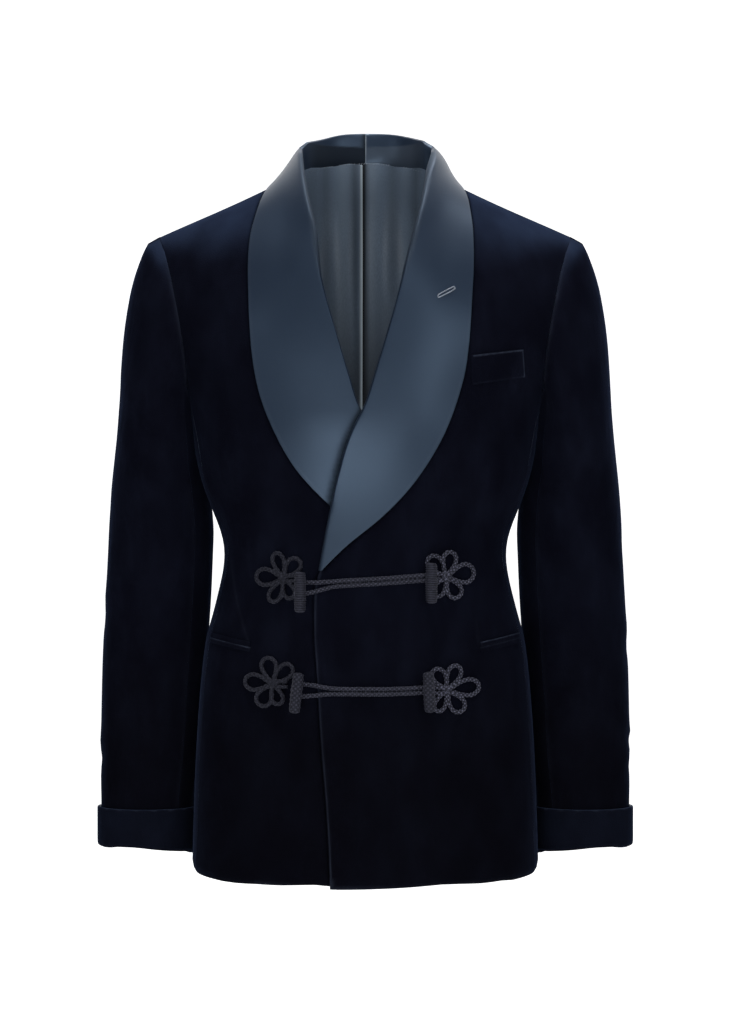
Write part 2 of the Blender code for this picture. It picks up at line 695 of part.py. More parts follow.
def sleeve_wall(name, first, last, columns, mirror):
    inset = SEAM_HALF_GAP / SLEEVE.at("half_y", SLEEVE_END)
    angles = np.linspace(first + inset, last - inset, columns + 1)
    grid = sleeve_grid(angles)
    normals = grid_normals(grid)
    middle = np.stack([SLEEVE.at("x", grid[..., 2]), SLEEVE.at("y", grid[..., 2]), grid[..., 2]], -1)
    if np.sum(normals * (grid - middle)) < 0.0:
        normals = -normals
    back = grid - normals * VELVET
    flip = np.array((-1.0, 1.0, 1.0)) if mirror else np.ones(3)
    wall(name, grid * flip, back * flip, "velvet")


def make_sleeves():
    for side in ("left", "right"):
        mirror = side == "right"
        sleeve_wall("top_sleeve_" + side, SLEEVE_BACK_SEAM - 2.0 * math.pi, SLEEVE_FRONT_SEAM,
                    TOP_SLEEVE_COLUMNS, mirror)
        sleeve_wall("under_sleeve_" + side, SLEEVE_FRONT_SEAM, SLEEVE_BACK_SEAM,
                    UNDER_SLEEVE_COLUMNS, mirror)


def make_cuffs():
    angles = np.linspace(0.0, 2.0 * math.pi, CUFF_COLUMNS, endpoint=False)
    low = sleeve_end(angles) - CUFF_OVERHANG
    face = []
    back = []
    for share, inset in CUFF_PROFILE[1]:
        height = CUFF_TOP + (low - CUFF_TOP) * share
        face.append(sleeve_ring(angles, height, CUFF_GAP + CUFF_THICK - inset))
        back.append(sleeve_ring(angles, height, CUFF_GAP))
    for side in ("left", "right"):
        flip = np.array((-1.0 if side == "right" else 1.0, 1.0, 1.0))
        wall("cuff_" + side, np.array(face) * flip, np.array(back) * flip, "velvet", ring=True)


# Shawl collar

def collar_line(station, which, on_top):
    """x and over-shoulder angle of the collar's seam or outer edge."""
    turns = []
    for row in COLLAR_ROWS:
        size = dict(zip(COLLAR_COLUMNS, row))
        x, z = (size["seam_x"], size["seam_z"])
        if which == "outer":
            x, z = (size["outer_x"] if on_top else size["under_outer_x"], size["outer_z"])
        turns.append((size["station"], x, float(turn_of(x, z, size["half"]))))
    line = Table(("station", "x", "turn"), turns)
    return line.at("x", station), line.at("turn", station)


def collar_grid(on_top):
    station = np.linspace(0.0, COLLAR_ROWS[-1][0], COLLAR_STATIONS + 1)
    seam_x, seam_turn = collar_line(station, "seam", on_top)
    outer_x, outer_turn = collar_line(station, "outer", on_top)
    seam_x[-1] = outer_x[-1] = SEAM_HALF_GAP
    surface = lambda x, turn: over_shoulder(x, turn, on_top)
    seam = surface(seam_x, seam_turn)
    out = facing(surface, seam_x, seam_turn)
    along = unit(np.gradient(seam, axis=0, edge_order=2))
    along[-1] = (-1.0, 0.0, 0.0)
    open_way = unit(np.cross(out, along))
    upright = COLLAR.at("upright", station)[:, None]
    lean = unit(open_way * (1.0 - upright) + np.array((0.0, 0.0, 1.0)) * upright)
    side = unit(np.cross(along, lean))
    rise = np.maximum(COLLAR.at("rise", station), 0.0)[:, None]
    fold = seam + lean * rise - side * (COLLAR_FOLD_RADIUS - COLLAR_LIE)
    neck = smooth(COLLAR_RISE_STATION, COLLAR_NECK_STATION, station)[:, None]
    begin = -neck * math.pi / 2 - (1.0 - neck) * ROLL_BEGINS
    spread = np.linspace(0.0, 1.0, FALL_STEPS + 1)[1:]
    foot = seam + out * COLLAR_LIE
    lift = fold + side * COLLAR_FOLD_RADIUS - foot
    next_x = seam_x + (outer_x - seam_x) * spread[0]
    next_turn = seam_turn + (outer_turn - seam_turn) * spread[0]
    first = (surface(next_x, next_turn) + facing(surface, next_x, next_turn) * COLLAR_LIE
             + lift * (1.0 - spread[0]))
    away = unit(first - (fold + side * COLLAR_FOLD_RADIUS))
    kink = np.arctan2(np.sum(away * side, -1), np.sum(-away * lean, -1))[:, None]
    finish = math.pi / 2 - np.clip(kink, 0.0, FOLD_OPENS_MOST)
    columns = []
    tuck = STAND_TUCK * neck + ROLL_TUCK * (1.0 - neck)
    inner = fold + COLLAR_FOLD_RADIUS * (side * np.sin(begin) + lean * np.cos(begin))
    inner_way = -lean * neck - side * (1.0 - neck)
    depth = VELVET + LAYER_GAP + SATIN
    tail = seam - open_way * tuck - out * depth
    tail = tail * neck + (inner + inner_way * tuck) * (1.0 - neck)
    knee = seam - side * (depth + STAND_EASE)
    knee = knee * neck + (inner + inner_way * tuck * ROLL_KNEE) * (1.0 - neck)
    columns += [tail, knee]
    for i in range(1, STAND_STEPS):
        share = i / STAND_STEPS
        columns.append(knee * (1.0 - share) + inner * share)
    for i in range(FOLD_STEPS + 1):
        turn = begin + (finish - begin) * i / FOLD_STEPS
        columns.append(fold + COLLAR_FOLD_RADIUS * (side * np.sin(turn) + lean * np.cos(turn)))
    for share in spread:
        x = seam_x + (outer_x - seam_x) * share
        turn = seam_turn + (outer_turn - seam_turn) * share
        columns.append(surface(x, turn) + facing(surface, x, turn) * COLLAR_LIE + lift * (1.0 - share))
    return np.stack(columns, axis=1), side


def make_collar():
    for side, on_top in (("left", True), ("right", False)):
        grid, outward = collar_grid(on_top)
        grid[-1, :, 0] = SEAM_HALF_GAP
        normals = grid_normals(grid)
        if np.sum(normals[:, -2] * outward) < 0.0:
            normals = -normals
        normals[-1, :, 0] = 0.0
        normals[-1] = unit(normals[-1])
        back = grid - normals * SATIN
        flip = np.array((1.0 if on_top else -1.0, 1.0, 1.0))
        wall("collar_" + side, grid * flip, back * flip, "satin")


# Lining

def make_lining():
    surface = lambda a, b: over_shoulder(a, b, False)
    v = np.linspace(0.0, 1.0, LINING_ROWS + 1)[:, None]
    u = np.linspace(0.0, 1.0, LINING_COLUMNS + 1)[None, :]
    clear = lambda x: smooth(SHOULDER_CLEAR_FROM, SHOULDER_CLEAR_FULL, x)
    for side in ("left", "right"):
        over = side == "right"
        start = -PLEAT_OVER if over else -PLEAT_UNDER
        tuck = lambda x: neck_turn(x) + STAND_CLEAR + SHOULDER_CLEAR * clear(x)
        rise = lambda x: level(x, v, 1, tuck(x), LINING_BOTTOM)
        x = start + u * (RIGHT_START - start) + 0.0 * v
        x = settle(lambda x: start + (LINING_SIDE * back_outer_edge(rise(x)) - start) * u, x)
        turn = turn_of(x, rise(x), 1)
        out = facing(surface, x, turn)
        lift = PLEAT_LIFT * (1.0 - smooth(0.0, PLEAT_WIDTH, x)) if over else 0.0 * x
        hidden = surface(x, turn) - out * (LINING_INSIDE + lift)[..., None]
        shell("lining_back_" + side, hidden, out, LINING, "lining", mirror=over)


# Pockets

def patch(name, corners, columns, rows, thickness, on_top, mirror):
    """Four-cornered strip lying on a front."""
    u = np.linspace(0.0, 1.0, columns + 1)[None, :, None]
    v = np.linspace(0.0, 1.0, rows + 1)[:, None, None]
    low = np.array(corners["low_inner"]) * (1.0 - u) + np.array(corners["low_outer"]) * u
    high = np.array(corners["high_inner"]) * (1.0 - u) + np.array(corners["high_outer"]) * u
    flat = low * (1.0 - v) + high * v
    surface = lambda x, z: front_surface(x, z, on_top)
    base = surface(flat[..., 0], flat[..., 1])
    out = facing(surface, flat[..., 0], flat[..., 1])
    flip = np.array((-1.0 if mirror else 1.0, 1.0, 1.0))
    under = (base + out * TRIM_GAP) * flip
    face = (base + out * (TRIM_GAP + thickness)) * flip
    wall(name, face, under, "velvet")


def make_pockets():
    patch("chest_welt", CHEST_WELT, WELT_COLUMNS, WELT_ROWS, CHEST_WELT_THICK, True, False)
    for side in ("left", "right"):
        for edge, low, high in (("upper", TRIM_GAP, JET_HIGH), ("lower", -JET_HIGH, -TRIM_GAP)):
            corners = {}
            for end, (x, z) in (("inner", HIP_INNER), ("outer", HIP_OUTER)):
                corners["low_" + end] = (x, z + low)
                corners["high_" + end] = (x, z + high)
            patch("hip_jet_" + edge + "_" + side, corners, JET_COLUMNS, JET_ROWS, JET_THICK,
                  side == "left", side == "right")


# Frog closures

def add_tube(bm, path, radius):
    """Adds a cord swept along a path."""
    curve = bpy.data.curves.new("path", "CURVE")
    curve.dimensions = "3D"
    curve.bevel_depth = radius
    curve.bevel_resolution = CORD_ROUNDNESS
    curve.use_fill_caps = True
    spline = curve.splines.new("POLY")
    spline.points.add(len(path) - 1)
    for point, place_at in zip(spline.points, path):
        point.co = (*place_at, 1.0)
    drawn = bpy.data.objects.new("path", curve)
    bpy.context.scene.collection.objects.link(drawn)
    bpy.context.view_layer.update()
    bm.from_mesh(drawn.to_mesh())
    drawn.to_mesh_clear()
    bpy.data.objects.remove(drawn)
    bmesh.ops.remove_doubles(bm, verts=bm.verts[:], dist=1e-5)


def rounded(path, steps):
    """Smooth run of points through a path."""
    last = len(path) - 1
    made = []
    for i in range(last):
        a, b, c, d = path[[max(i - 1, 0), i, i + 1, min(i + 2, last)]]
        for s in range(steps):
            t = s / steps
            made.append(0.5 * (2.0 * b + (c - a) * t + (2.0 * a - 5.0 * b + 4.0 * c - d) * t ** 2
                               + (3.0 * b - a - 3.0 * c + d) * t ** 3))
    made.append(path[-1])
    return np.array(made)


def petal_path(petal, flip):
    """Flat closed loop of cord from the rosette's centre out to one petal's tip."""
    angle = math.radians(petal["angle"])
    out = np.array((math.cos(angle), math.sin(angle)))
    over = np.array((-out[1], out[0]))
    reach = petal["length"] - CORD_RADIUS
    wide = PETAL_HALF_WIDTH - CORD_RADIUS
    path = [out * reach * along + over * wide * across for along, across in PETAL_OUTLINE]
    return np.array(path) * np.array((flip, 1.0))


def lay(flat, centre, height, on_top):
    """Flat points laid on a front at a height off it."""
    x = centre[0] + flat[:, 0]
    z = centre[1] + flat[:, 1]
    surface = lambda a, b: front_surface(a, b, on_top)
    return surface(x, z) + facing(surface, x, z) * height[:, None]


def make_rosettes():
    for name, centre in ROSETTES.items():
        on_top = name.endswith("left")
        bm = bmesh.new()
        for row in PETALS[1]:
            petal = dict(zip(PETALS[0], row))
            flat = petal_path(petal, 1.0 if on_top else -1.0)
            height = np.full(len(flat), CORD_RADIUS + FROG_GAP)
            add_tube(bm, lay(flat, centre, height, on_top), CORD_RADIUS)
        low, hub = lay(np.zeros((2, 2)), centre, np.array([0.0, CORD_RADIUS + FROG_GAP]), on_top)
        upright = Vector(hub - low).to_track_quat("Z", "Y").to_matrix().to_4x4()
        flat = Matrix.Diagonal((1.0, 1.0, CORD_RADIUS / HUB_RADIUS, 1.0))
        loops = place("petals", bm, "cord")
        knot = bmesh.new()
        bmesh.ops.create_uvsphere(knot, u_segments=HUB_SEGMENTS, v_segments=HUB_RINGS, radius=HUB_RADIUS,
                                  matrix=Matrix.Translation(hub) @ upright @ flat)
        core = place("rosette_" + name, knot, "cord")
        join = core.modifiers.new("join", "BOOLEAN")
        join.operation = "UNION"
        join.solver = "EXACT"
        join.use_self = True
        join.object = loops
        bpy.context.view_layer.update()
        whole = bpy.data.meshes.new_from_object(core.evaluated_get(bpy.context.evaluated_depsgraph_get()))
        core.modifiers.remove(join)
        core.data = whole
        bpy.data.objects.remove(loops)


def make_barrels():
    for name, (x, z, tilt, settles) in BARRELS.items():
        on_top = name.endswith("left")
        lie = 2.0 * (FROG_GAP + LOOP_RADIUS) + BARREL_RADIUS - settles
        if not on_top:
            lie += float(lap_lift(FRONT_EDGE.at("x", z), z))
        flat = np.zeros((1, 2))
        middle = lay(flat, (x, z), np.array([lie]), on_top)[0]
        turn = math.radians(tilt)
        axis = np.array((-math.sin(turn), 0.0, math.cos(turn)))
        bm = bmesh.new()
        half = BARREL_LENGTH / 2.0
        rings = []
        for share, width in BARREL_PROFILE[1]:
            ring = []
            for k in range(BARREL_SIDES):
                spin = 2.0 * math.pi * k / BARREL_SIDES
                offset = np.array((math.cos(spin), math.sin(spin), 0.0)) * BARREL_RADIUS * width
                ring.append(bm.verts.new(middle + axis * half * share + offset))
            rings.append(ring)
        for low, high in zip(rings, rings[1:]):
            for k in range(BARREL_SIDES):
                m = (k + 1) % BARREL_SIDES
                bm.faces.new([low[k], low[m], high[m], high[k]])
        bm.faces.new(rings[0][::-1])
        bm.faces.new(rings[-1])
        place("barrel_" + name if on_top else "toggle_" + name, bm, "cord")


def make_cords():
    for name, rows in CORDS.items():
        centre = np.array([(x, z) for x, z, _ in rows])
        spread = np.array([s for _, _, s in rows])
        top = centre + np.stack([np.zeros_like(spread), spread], 1)
        low = centre - np.stack([np.zeros_like(spread), spread], 1)
        tip = centre[-1] + np.array((-spread[-1], 0.0))
        flat = rounded(np.concatenate([top, [tip], low[::-1]]), CORD_STEPS)
        lie = np.full(len(flat), LOOP_RADIUS + FROG_GAP)
        bm = bmesh.new()
        add_tube(bm, lay(flat, (0.0, 0.0), lie, True), LOOP_RADIUS)
        place("frog_cord_" + name, bm, "cord")


def main():
    for old in list(bpy.data.objects):
        bpy.data.objects.remove(old)
    make_fronts()
    make_sides()
    make_backs()
    make_sleeves()
    make_cuffs()
    make_collar()
    make_lining()
    make_pockets()
    make_rosettes()
    make_barrels()
    make_cords()


main()
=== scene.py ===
"""Dresses the velvet smoking jacket: pile, satin, lining, braided frogs and handwork."""
import math

import bmesh
import bpy
import numpy as np
from bpy.props import FloatProperty, FloatVectorProperty, IntProperty, PointerProperty
from mathutils import Matrix, Vector
from mathutils.bvhtree import BVHTree
from mathutils.kdtree import KDTree


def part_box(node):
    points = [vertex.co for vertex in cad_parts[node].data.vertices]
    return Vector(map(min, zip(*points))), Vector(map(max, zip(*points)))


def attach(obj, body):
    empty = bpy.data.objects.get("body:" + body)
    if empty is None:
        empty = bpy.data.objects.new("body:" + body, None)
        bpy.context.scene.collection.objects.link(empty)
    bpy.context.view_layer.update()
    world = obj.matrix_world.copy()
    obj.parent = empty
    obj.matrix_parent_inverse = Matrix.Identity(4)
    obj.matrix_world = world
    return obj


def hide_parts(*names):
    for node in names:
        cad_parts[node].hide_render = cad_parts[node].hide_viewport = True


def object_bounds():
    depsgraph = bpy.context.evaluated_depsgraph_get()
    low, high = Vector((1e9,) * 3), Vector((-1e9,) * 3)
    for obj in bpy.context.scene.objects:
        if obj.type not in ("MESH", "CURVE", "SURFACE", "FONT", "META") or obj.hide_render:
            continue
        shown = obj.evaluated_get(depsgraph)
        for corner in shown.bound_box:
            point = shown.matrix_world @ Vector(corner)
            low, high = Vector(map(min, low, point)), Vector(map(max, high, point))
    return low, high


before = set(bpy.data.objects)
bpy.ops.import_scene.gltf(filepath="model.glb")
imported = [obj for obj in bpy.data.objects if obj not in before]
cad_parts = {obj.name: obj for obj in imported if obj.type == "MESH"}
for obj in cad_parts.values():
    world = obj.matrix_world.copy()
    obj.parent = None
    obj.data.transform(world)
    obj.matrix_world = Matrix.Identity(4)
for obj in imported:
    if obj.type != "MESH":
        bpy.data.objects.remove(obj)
CAD_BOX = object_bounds()

bl_info = {
    "name": "Velvet Smoking Jacket",
    "version": (1, 0, 0),
    "blender": (4, 5, 0),
    "location": "View3D > Sidebar > Jacket",
    "description": "Dresses the jacket's panels in velvet, satin, lining and braided cord",
    "category": "Object",
}

# The wearer's sides, and which way each lies
FLIP = {"left": 1.0, "right": -1.0}

# Cutting and sewing: merging, rims and their rounding, take at seams, fitting, pairing of triangles
MERGE = 0.00001
RIM_ANGLE = math.radians(50.0)
RIM_STEPS = 2
SEAM_TAKE = 0.0004
FIT_ROUNDS = 2
PAIR_ANGLE = math.radians(40.0)
GRID_PULL = 1.5
RIM_SAMPLE = 0.0009
EASE_STEP = 0.5
TINY = 1e-9
# Light along edges: open edges, seams and hems, with the width beside the line
OPEN_EDGE = 0.90
FRONT_EDGE = 0.40
OPEN_WIDE = 0.0008
OPEN_FROM = 0.35
ARMHOLE_EDGE = 0.22
SEAM_EDGE = 0.05
SEAM_WIDE = 0.0026
SEAM_NEAR = 0.003
HEM_EDGE = 0.30
HEM_WITHIN = 0.012
# Below this height a sleeve has no armhole; past this width or depth a front's edge is sewn
ARMHOLE_LOW = -0.300
ARMHOLE_WIDE = 0.110
NECK_AHEAD = -0.080
SEAMED = ("front", "side", "back", "top_sleeve", "under_sleeve")
# Painted highlight where the velvet faces upward, towards the light from above: from where to where it
# lightens
UPWARD_HIGHLIGHT_RISE = (0.34, 0.72)
# Heights between which painted shade darkens the velvet low down, and by how much
VELVET_LOW = (-0.430, -0.580)
VELVET_LOW_SHARE = 0.5
# Inside: the hems and facings that stay velvet, how far a lined face turns inward, and the shoulder
# ends, above this height and past this width, that stay velvet
HEM_ALLOWANCE = 0.040
FACING_WIDTH = 0.085
SLEEVE_FACING = 0.045
INWARD = -0.3
SHOULDER_LOW = -0.075
SHOULDER_OUT = 0.190
# Inner faces whose mesh is thinned, and the share of it that goes
HIDDEN_FACING = -0.75
HIDDEN_CUT = 0.80

# The torso and sleeve lines that folds are measured from
TORSO_WIDE = 0.17
TORSO_DEEP = 0.12
SLEEVE_LINE = {"z": (-0.700, -0.640, -0.530, -0.430, -0.345, -0.300, -0.200, -0.100, -0.048),
               "x": (0.2286, 0.2281, 0.2231, 0.2173, 0.2134, 0.2170, 0.2150, 0.2130, 0.2137),
               "y": (0.022, 0.026, 0.029, 0.027, 0.023, 0.018, 0.012, 0.010, 0.010)}
SLEEVE_ROUND = 0.055
FOLD_FADE_TOP = (-0.120, -0.200)
# The low ridge beside a fold: its share of the depth, and its place in half widths
RIDGE_SHARE = 0.45
RIDGE_AWAY = 1.7
# Where the inside of the upper sleeve rests against the body, how far it moves, and the share of
# the sleeve's radius at which it moves fully
REST_TOP = (-0.200, -0.250)
REST_LOW = (-0.345, -0.290)
REST_TAKE = 0.0055
REST_FULL = 0.8
# The outside of the sleeve just under its head: height, half height, take
OUTER_AT = -0.095
OUTER_HIGH = 0.045
OUTER_TAKE = 0.0027
# Lower edge of the cuffs in front: from where it lifts, by height and depth, the lift by the place
# across the sleeve, and the least painted highlight on the cuffs, as on velvet facing upward
CUFF_LOW = (-0.640, -0.690)
CUFF_AHEAD = (0.020, -0.020)
CUFF_LIFT = ((-0.048, 0.000, 0.011, 0.027, 0.036, 0.044),
             (0.0052, 0.0054, 0.0050, 0.0030, 0.0002, -0.0015))
CUFF_HIGHLIGHT = 0.16

# Fullness of the sleeve head: its middle, where it begins and is full, rise, width of the seam
HEAD_MIDDLE = (0.192, 0.012, -0.105)
HEAD_FROM = (-0.110, -0.058)
HEAD_RISE = 0.0030
HEAD_SEAM = 0.006
HEAD_ROUNDS = 30

# Soft folds in the sleeves: height, angle round the sleeve (0 outside, 90 front), slant,
# reach in radians, half width, depth
SLEEVE_FOLD_COLUMNS = ("height", "around", "slant", "reach", "width", "depth")
SLEEVE_FOLDS = {
    "left": [
        (-0.262, 78.0, -0.55, 0.70, 0.011, -0.0022),
        (-0.318, 96.0, -0.70, 0.60, 0.013, -0.0024),
        (-0.392, 62.0, -0.40, 0.75, 0.014, -0.0018),
        (-0.470, 24.0, 0.30, 0.65, 0.012, -0.0016),
        (-0.577, 2.0, 0.45, 0.50, 0.007, -0.0022),
        (-0.604, 18.0, -0.30, 0.60, 0.010, -0.0014),
        (-0.520, 110.0, -0.35, 0.60, 0.012, -0.0016),
        (-0.340, 262.0, 0.45, 0.70, 0.013, -0.0022),
        (-0.420, 285.0, -0.30, 0.80, 0.012, -0.0020),
        (-0.545, 250.0, 0.35, 0.60, 0.012, -0.0016),
    ],
    "right": [
        (-0.248, 70.0, -0.60, 0.75, 0.013, -0.0024),
        (-0.302, 84.0, -0.65, 0.70, 0.012, -0.0026),
        (-0.352, 58.0, -0.45, 0.60, 0.015, -0.0020),
        (-0.436, 40.0, 0.28, 0.80, 0.013, -0.0018),
        (-0.500, 82.0, -0.30, 0.70, 0.012, -0.0016),
        (-0.590, 12.0, 0.36, 0.55, 0.010, -0.0016),
        (-0.610, 100.0, -0.25, 0.50, 0.010, -0.0012),
        (-0.330, 255.0, 0.50, 0.65, 0.014, -0.0024),
        (-0.405, 280.0, -0.35, 0.70, 0.012, -0.0018),
        (-0.560, 262.0, 0.30, 0.60, 0.011, -0.0016),
    ],
}

# Depth over which a fold of the body fades towards its sides
BODY_TURN = 0.04
# Soft folds in the body: face, x, height, direction, half length, half width, depth
BODY_FOLD_COLUMNS = ("face", "x", "height", "direction", "reach", "width", "depth")
BODY_FOLDS = [
    ("front", 0.128, -0.415, 68.0, 0.050, 0.011, -0.0020),
    ("front", 0.112, -0.345, 38.0, 0.050, 0.012, -0.0016),
    ("front", 0.150, -0.300, 75.0, 0.060, 0.013, -0.0018),
    ("front", -0.126, -0.420, 108.0, 0.050, 0.012, -0.0020),
    ("front", -0.108, -0.352, 142.0, 0.045, 0.012, -0.0014),
    ("front", -0.150, -0.305, 104.0, 0.060, 0.013, -0.0018),
    ("front", 0.070, -0.625, 84.0, 0.075, 0.018, -0.0014),
    ("front", -0.092, -0.618, 97.0, 0.070, 0.018, -0.0014),
    ("front", 0.160, -0.120, 58.0, 0.055, 0.014, -0.0016),
    ("front", -0.162, -0.128, 122.0, 0.055, 0.014, -0.0016),
    ("back", 0.060, -0.385, 20.0, 0.060, 0.013, -0.0020),
    ("back", -0.072, -0.400, 160.0, 0.060, 0.012, -0.0018),
    ("back", 0.120, -0.190, 62.0, 0.065, 0.014, -0.0022),
    ("back", -0.128, -0.200, 118.0, 0.065, 0.013, -0.0022),
    ("back", 0.090, -0.600, 86.0, 0.080, 0.018, -0.0018),
    ("back", -0.084, -0.590, 95.0, 0.080, 0.017, -0.0018),
]

# Drape of the back lining: x, half width, depth towards the wearer
LINING_DRAPE_COLUMNS = ("x", "width", "depth")
LINING_DRAPES = [(-0.030, 0.012, 0.0050), (-0.060, 0.008, 0.0030), (0.022, 0.011, 0.0046),
                 (0.052, 0.009, 0.0036), (0.078, 0.012, 0.0040), (-0.088, 0.012, 0.0040),
                 (0.108, 0.015, 0.0036), (-0.120, 0.015, 0.0036)]
LINING_DRAPE_TOP = (0.030, -0.020)
# The lining's upper edge is felled up to the collar: where it starts to rise, rise and ease forward
# (at centre back, and more at the sides by this half width, up to a most)
LINING_TOP = (-0.010, 0.024)
LINING_RISE = ((0.0, 0.0165, 0.0315, 0.047, 0.057, 0.070),
               (0.0049, 0.0052, 0.0032, 0.0060, 0.0101, 0.0110))
LINING_DROP = 0.016
LINING_EASE = (0.0078, 0.0110)
LINING_HALF = 0.055
LINING_MOST = 1.5
# The centre pleat: its edge, how far it reaches and lifts
PLEAT_EDGE = 0.0015
PLEAT_REACH = 0.006
PLEAT_LIFT = 0.0042
PLEAT_PULL = 0.0063
PLEAT_PULL_FROM = -0.030
PLEAT_FADE = (0.030, 0.005)
# Painted light on the pleat's fold, the painted shadow that it throws, the painted shade in the hollow
# beside it and the dark low down
PLEAT_FOLD_FROM = (-0.0060, -0.0051)
PLEAT_SHADE = (0.0032, 0.0004)
PLEAT_HOLLOW = 0.50
PLEAT_HOLLOW_AT = -0.0112
PLEAT_HOLLOW_WIDE = 0.0052
LINING_DEEP = 0.87
# Light and dark streaks of the drape: x, half width, light (or dark below 0)
LINING_STREAKS = [(-0.0235, 0.0062, 0.13), (0.0068, 0.0052, 0.13), (-0.0417, 0.0062, -0.34),
                  (0.0289, 0.0080, -0.34), (0.0530, 0.0052, -0.42), (-0.0560, 0.0060, -0.20),
                  (0.0420, 0.0050, 0.08)]
LINING_DARKENS = (-0.030, -0.240)

# The hem's lower corners, eased inward: height, take, from where to where across
HEM_TURN = 0.020
HEM_TAKE = 0.0065
HEM_SIDES = (0.110, 0.165)
# Lift of each front's hem: from where, and by the place across
HEM_FROM = (-0.645, -0.700)
HEM_LIFT = {
    "right": ((-0.150, -0.133, -0.110, -0.086, -0.062, -0.050, -0.036),
              (0.0, 0.001, 0.003, 0.004, 0.006, 0.0068, 0.006)),
    "left": ((-0.026, 0.010, 0.046, 0.076, 0.094, 0.117, 0.141, 0.155),
             (0.003, 0.004, 0.005, 0.006, 0.005, 0.003, 0.002, 0.0)),
}

# Shadow beside the collar's edge, and under the lap of the lapels
COLLAR_SHADE = 0.0026
LAP_SHADE = 0.0042
FRONT_SHADE = 0.0026
FRONT_DARK = 0.85
# Darts above the hip pockets, as x and height, with their light and width
DARTS = {"left": ((0.1116, -0.4441), (0.1130, -0.4560), (0.1143, -0.4666)),
         "right": ((-0.1381, -0.3830), (-0.1291, -0.4301), (-0.1161, -0.4711))}
DART_EDGE = 0.09
DART_WIDE = 0.0013
# Inside of the stand, in velvet, its dark colour on the right half and the left half's end partly the velvet
# and partly painted shade: height of its upper edge, and how dark each half shows, with added painted shade
# (STAND_DEEP) and painted highlight (STAND_LIGHT)
STAND_TOP = (0.0530, 0.0510)
STAND_AT = (0.020, 0.040)
STAND_FACING = (-0.10, -0.40)
STAND_SHARE = {"left": 0.0, "right": 0.95}
STAND_END = {"left": 0.75, "right": 0.0}
STAND_END_AT = (0.044, 0.060)
STAND_DEEP = {"left": 0.0, "right": 0.45}
STAND_LIGHT = {"left": 0.10, "right": 0.0}
# Light along the collar's edges, and at the centre back seam
COLLAR_EDGE = 0.03
COLLAR_SEAM_LIGHT = 0.9
# The turn of each roll beside the neck, kept dull with painted shade and more roughness in place of its
# highlight: its line as x and height, share, reach, and the heights and depths between which it fades
ROLL_TURN = {
    "right": ((-0.0656, 0.0350), (-0.0638, 0.0171), (-0.0589, -0.0119),
              (-0.0533, -0.0373), (-0.0497, -0.0670), (-0.0445, -0.0979)),
    "left": ((0.0687, 0.0362), (0.0640, 0.0113), (0.0583, -0.0145),
             (0.0528, -0.0373), (0.0482, -0.0607), (0.0354, -0.1084)),
}
ROLL_SHADE = 0.62
ROLL_WIDE = 0.0030
ROLL_FADE = (-0.125, -0.060)
ROLL_BACK = (0.030, 0.012)
# Painted shade darkens the left lapel towards its tip
TIP_AT = (-0.290, -0.370)
TIP_DARK = 0.22
# The collar's upper corners: on the right drawn down, on the left drawn out
CORNER_DOWN = 0.0022
CORNER_DOWN_AT = (-0.048, 0.020)
CORNER_DOWN_FROM = (0.030, 0.045)
CORNER_OUT = 0.0050
CORNER_OUT_AT = (0.034, 0.018)
CORNER_OUT_FROM = (0.0610, 0.0680)
# The right lapel's roll sits further out: heights between which it does, reach, take
ROLL_HEIGHTS = (-0.040, -0.105)
ROLL_LOW = (-0.275, -0.235)
ROLL_LINE = ((-0.230, -0.195, -0.160, -0.125, -0.090, -0.060),
             (0.000, -0.006, -0.016, -0.027, -0.037, -0.047))
ROLL_REACH = 0.040
ROLL_TAKE = 0.0072

# Easing of the collar over the shoulder, clear of the centre back seam
COLLAR_EASE = (-0.060, 0.010)
COLLAR_SEAM = (0.002, 0.012)
COLLAR_ROUNDS = 90

# Light along the pocket edges: all round, at the welt's outer end, and on the upper edge of each
POCKET_EDGE = 0.10
POCKET_TOP_FROM = (0.3, 0.9)
WELT_END = (0.0020, 0.60)
POCKET_TOP = {"chest_welt": 0.95, "hip_jet_upper_left": 0.80, "hip_jet_lower_left": 0.25,
              "hip_jet_upper_right": 0.06, "hip_jet_lower_right": 0.90}

# Smooth runs: steps between two of their points, and the fewest points in all
RUN_STEPS = 12
RUN_LEAST = 8
# Frog closures: radii, clearance over the cloth, and the step along a cord
CORD_RADIUS = 0.0024
LOOP_RADIUS = 0.0025
FROG_LIE = 0.0009
CORD_STEP = 0.00045
# Least darkening of the strands towards the painted shade of the grooves, the cord on the wearer's right
# getting more painted shade
ROSETTE_DARK = {"left": 0.0, "right": 0.85}
LOOP_DARK = 0.50
# The plait: roundness of the cord, strands, pitch, depth, and the heights that make its groove
CORD_ROUND = 10
STRANDS = 3
PLAIT_PITCH = 0.0044
PLAIT_DEPTH = 0.26
PLAIT_GROOVE = (0.60, 0.10)
# Lift of the petals where they cross, by the share of their reach
CROSS_LIFT = 0.0005
CROSS_WITHIN = (0.5, 0.1)
PETAL_COLUMNS = ("angle", "length", "half_width")
PETALS = {
    "upper_left": [(130.0, 0.0285, 0.0092), (80.0, 0.0275, 0.0088), (10.0, 0.0300, 0.0115),
                   (-60.0, 0.0260, 0.0092), (-122.0, 0.0245, 0.0082)],
    "lower_left": [(120.0, 0.0262, 0.0088), (66.0, 0.0285, 0.0088), (6.0, 0.0345, 0.0102),
                   (-54.0, 0.0282, 0.0094), (-116.0, 0.0250, 0.0076)],
    "upper_right": [(127.0, 0.0265, 0.0092), (73.0, 0.0288, 0.0078), (4.0, 0.0295, 0.0104),
                    (-62.0, 0.0285, 0.0082), (-112.0, 0.0235, 0.0080)],
    "lower_right": [(136.0, 0.0285, 0.0092), (79.0, 0.0285, 0.0096), (4.0, 0.0295, 0.0100),
                    (-60.0, 0.0270, 0.0098), (-110.0, 0.0235, 0.0080)],
}
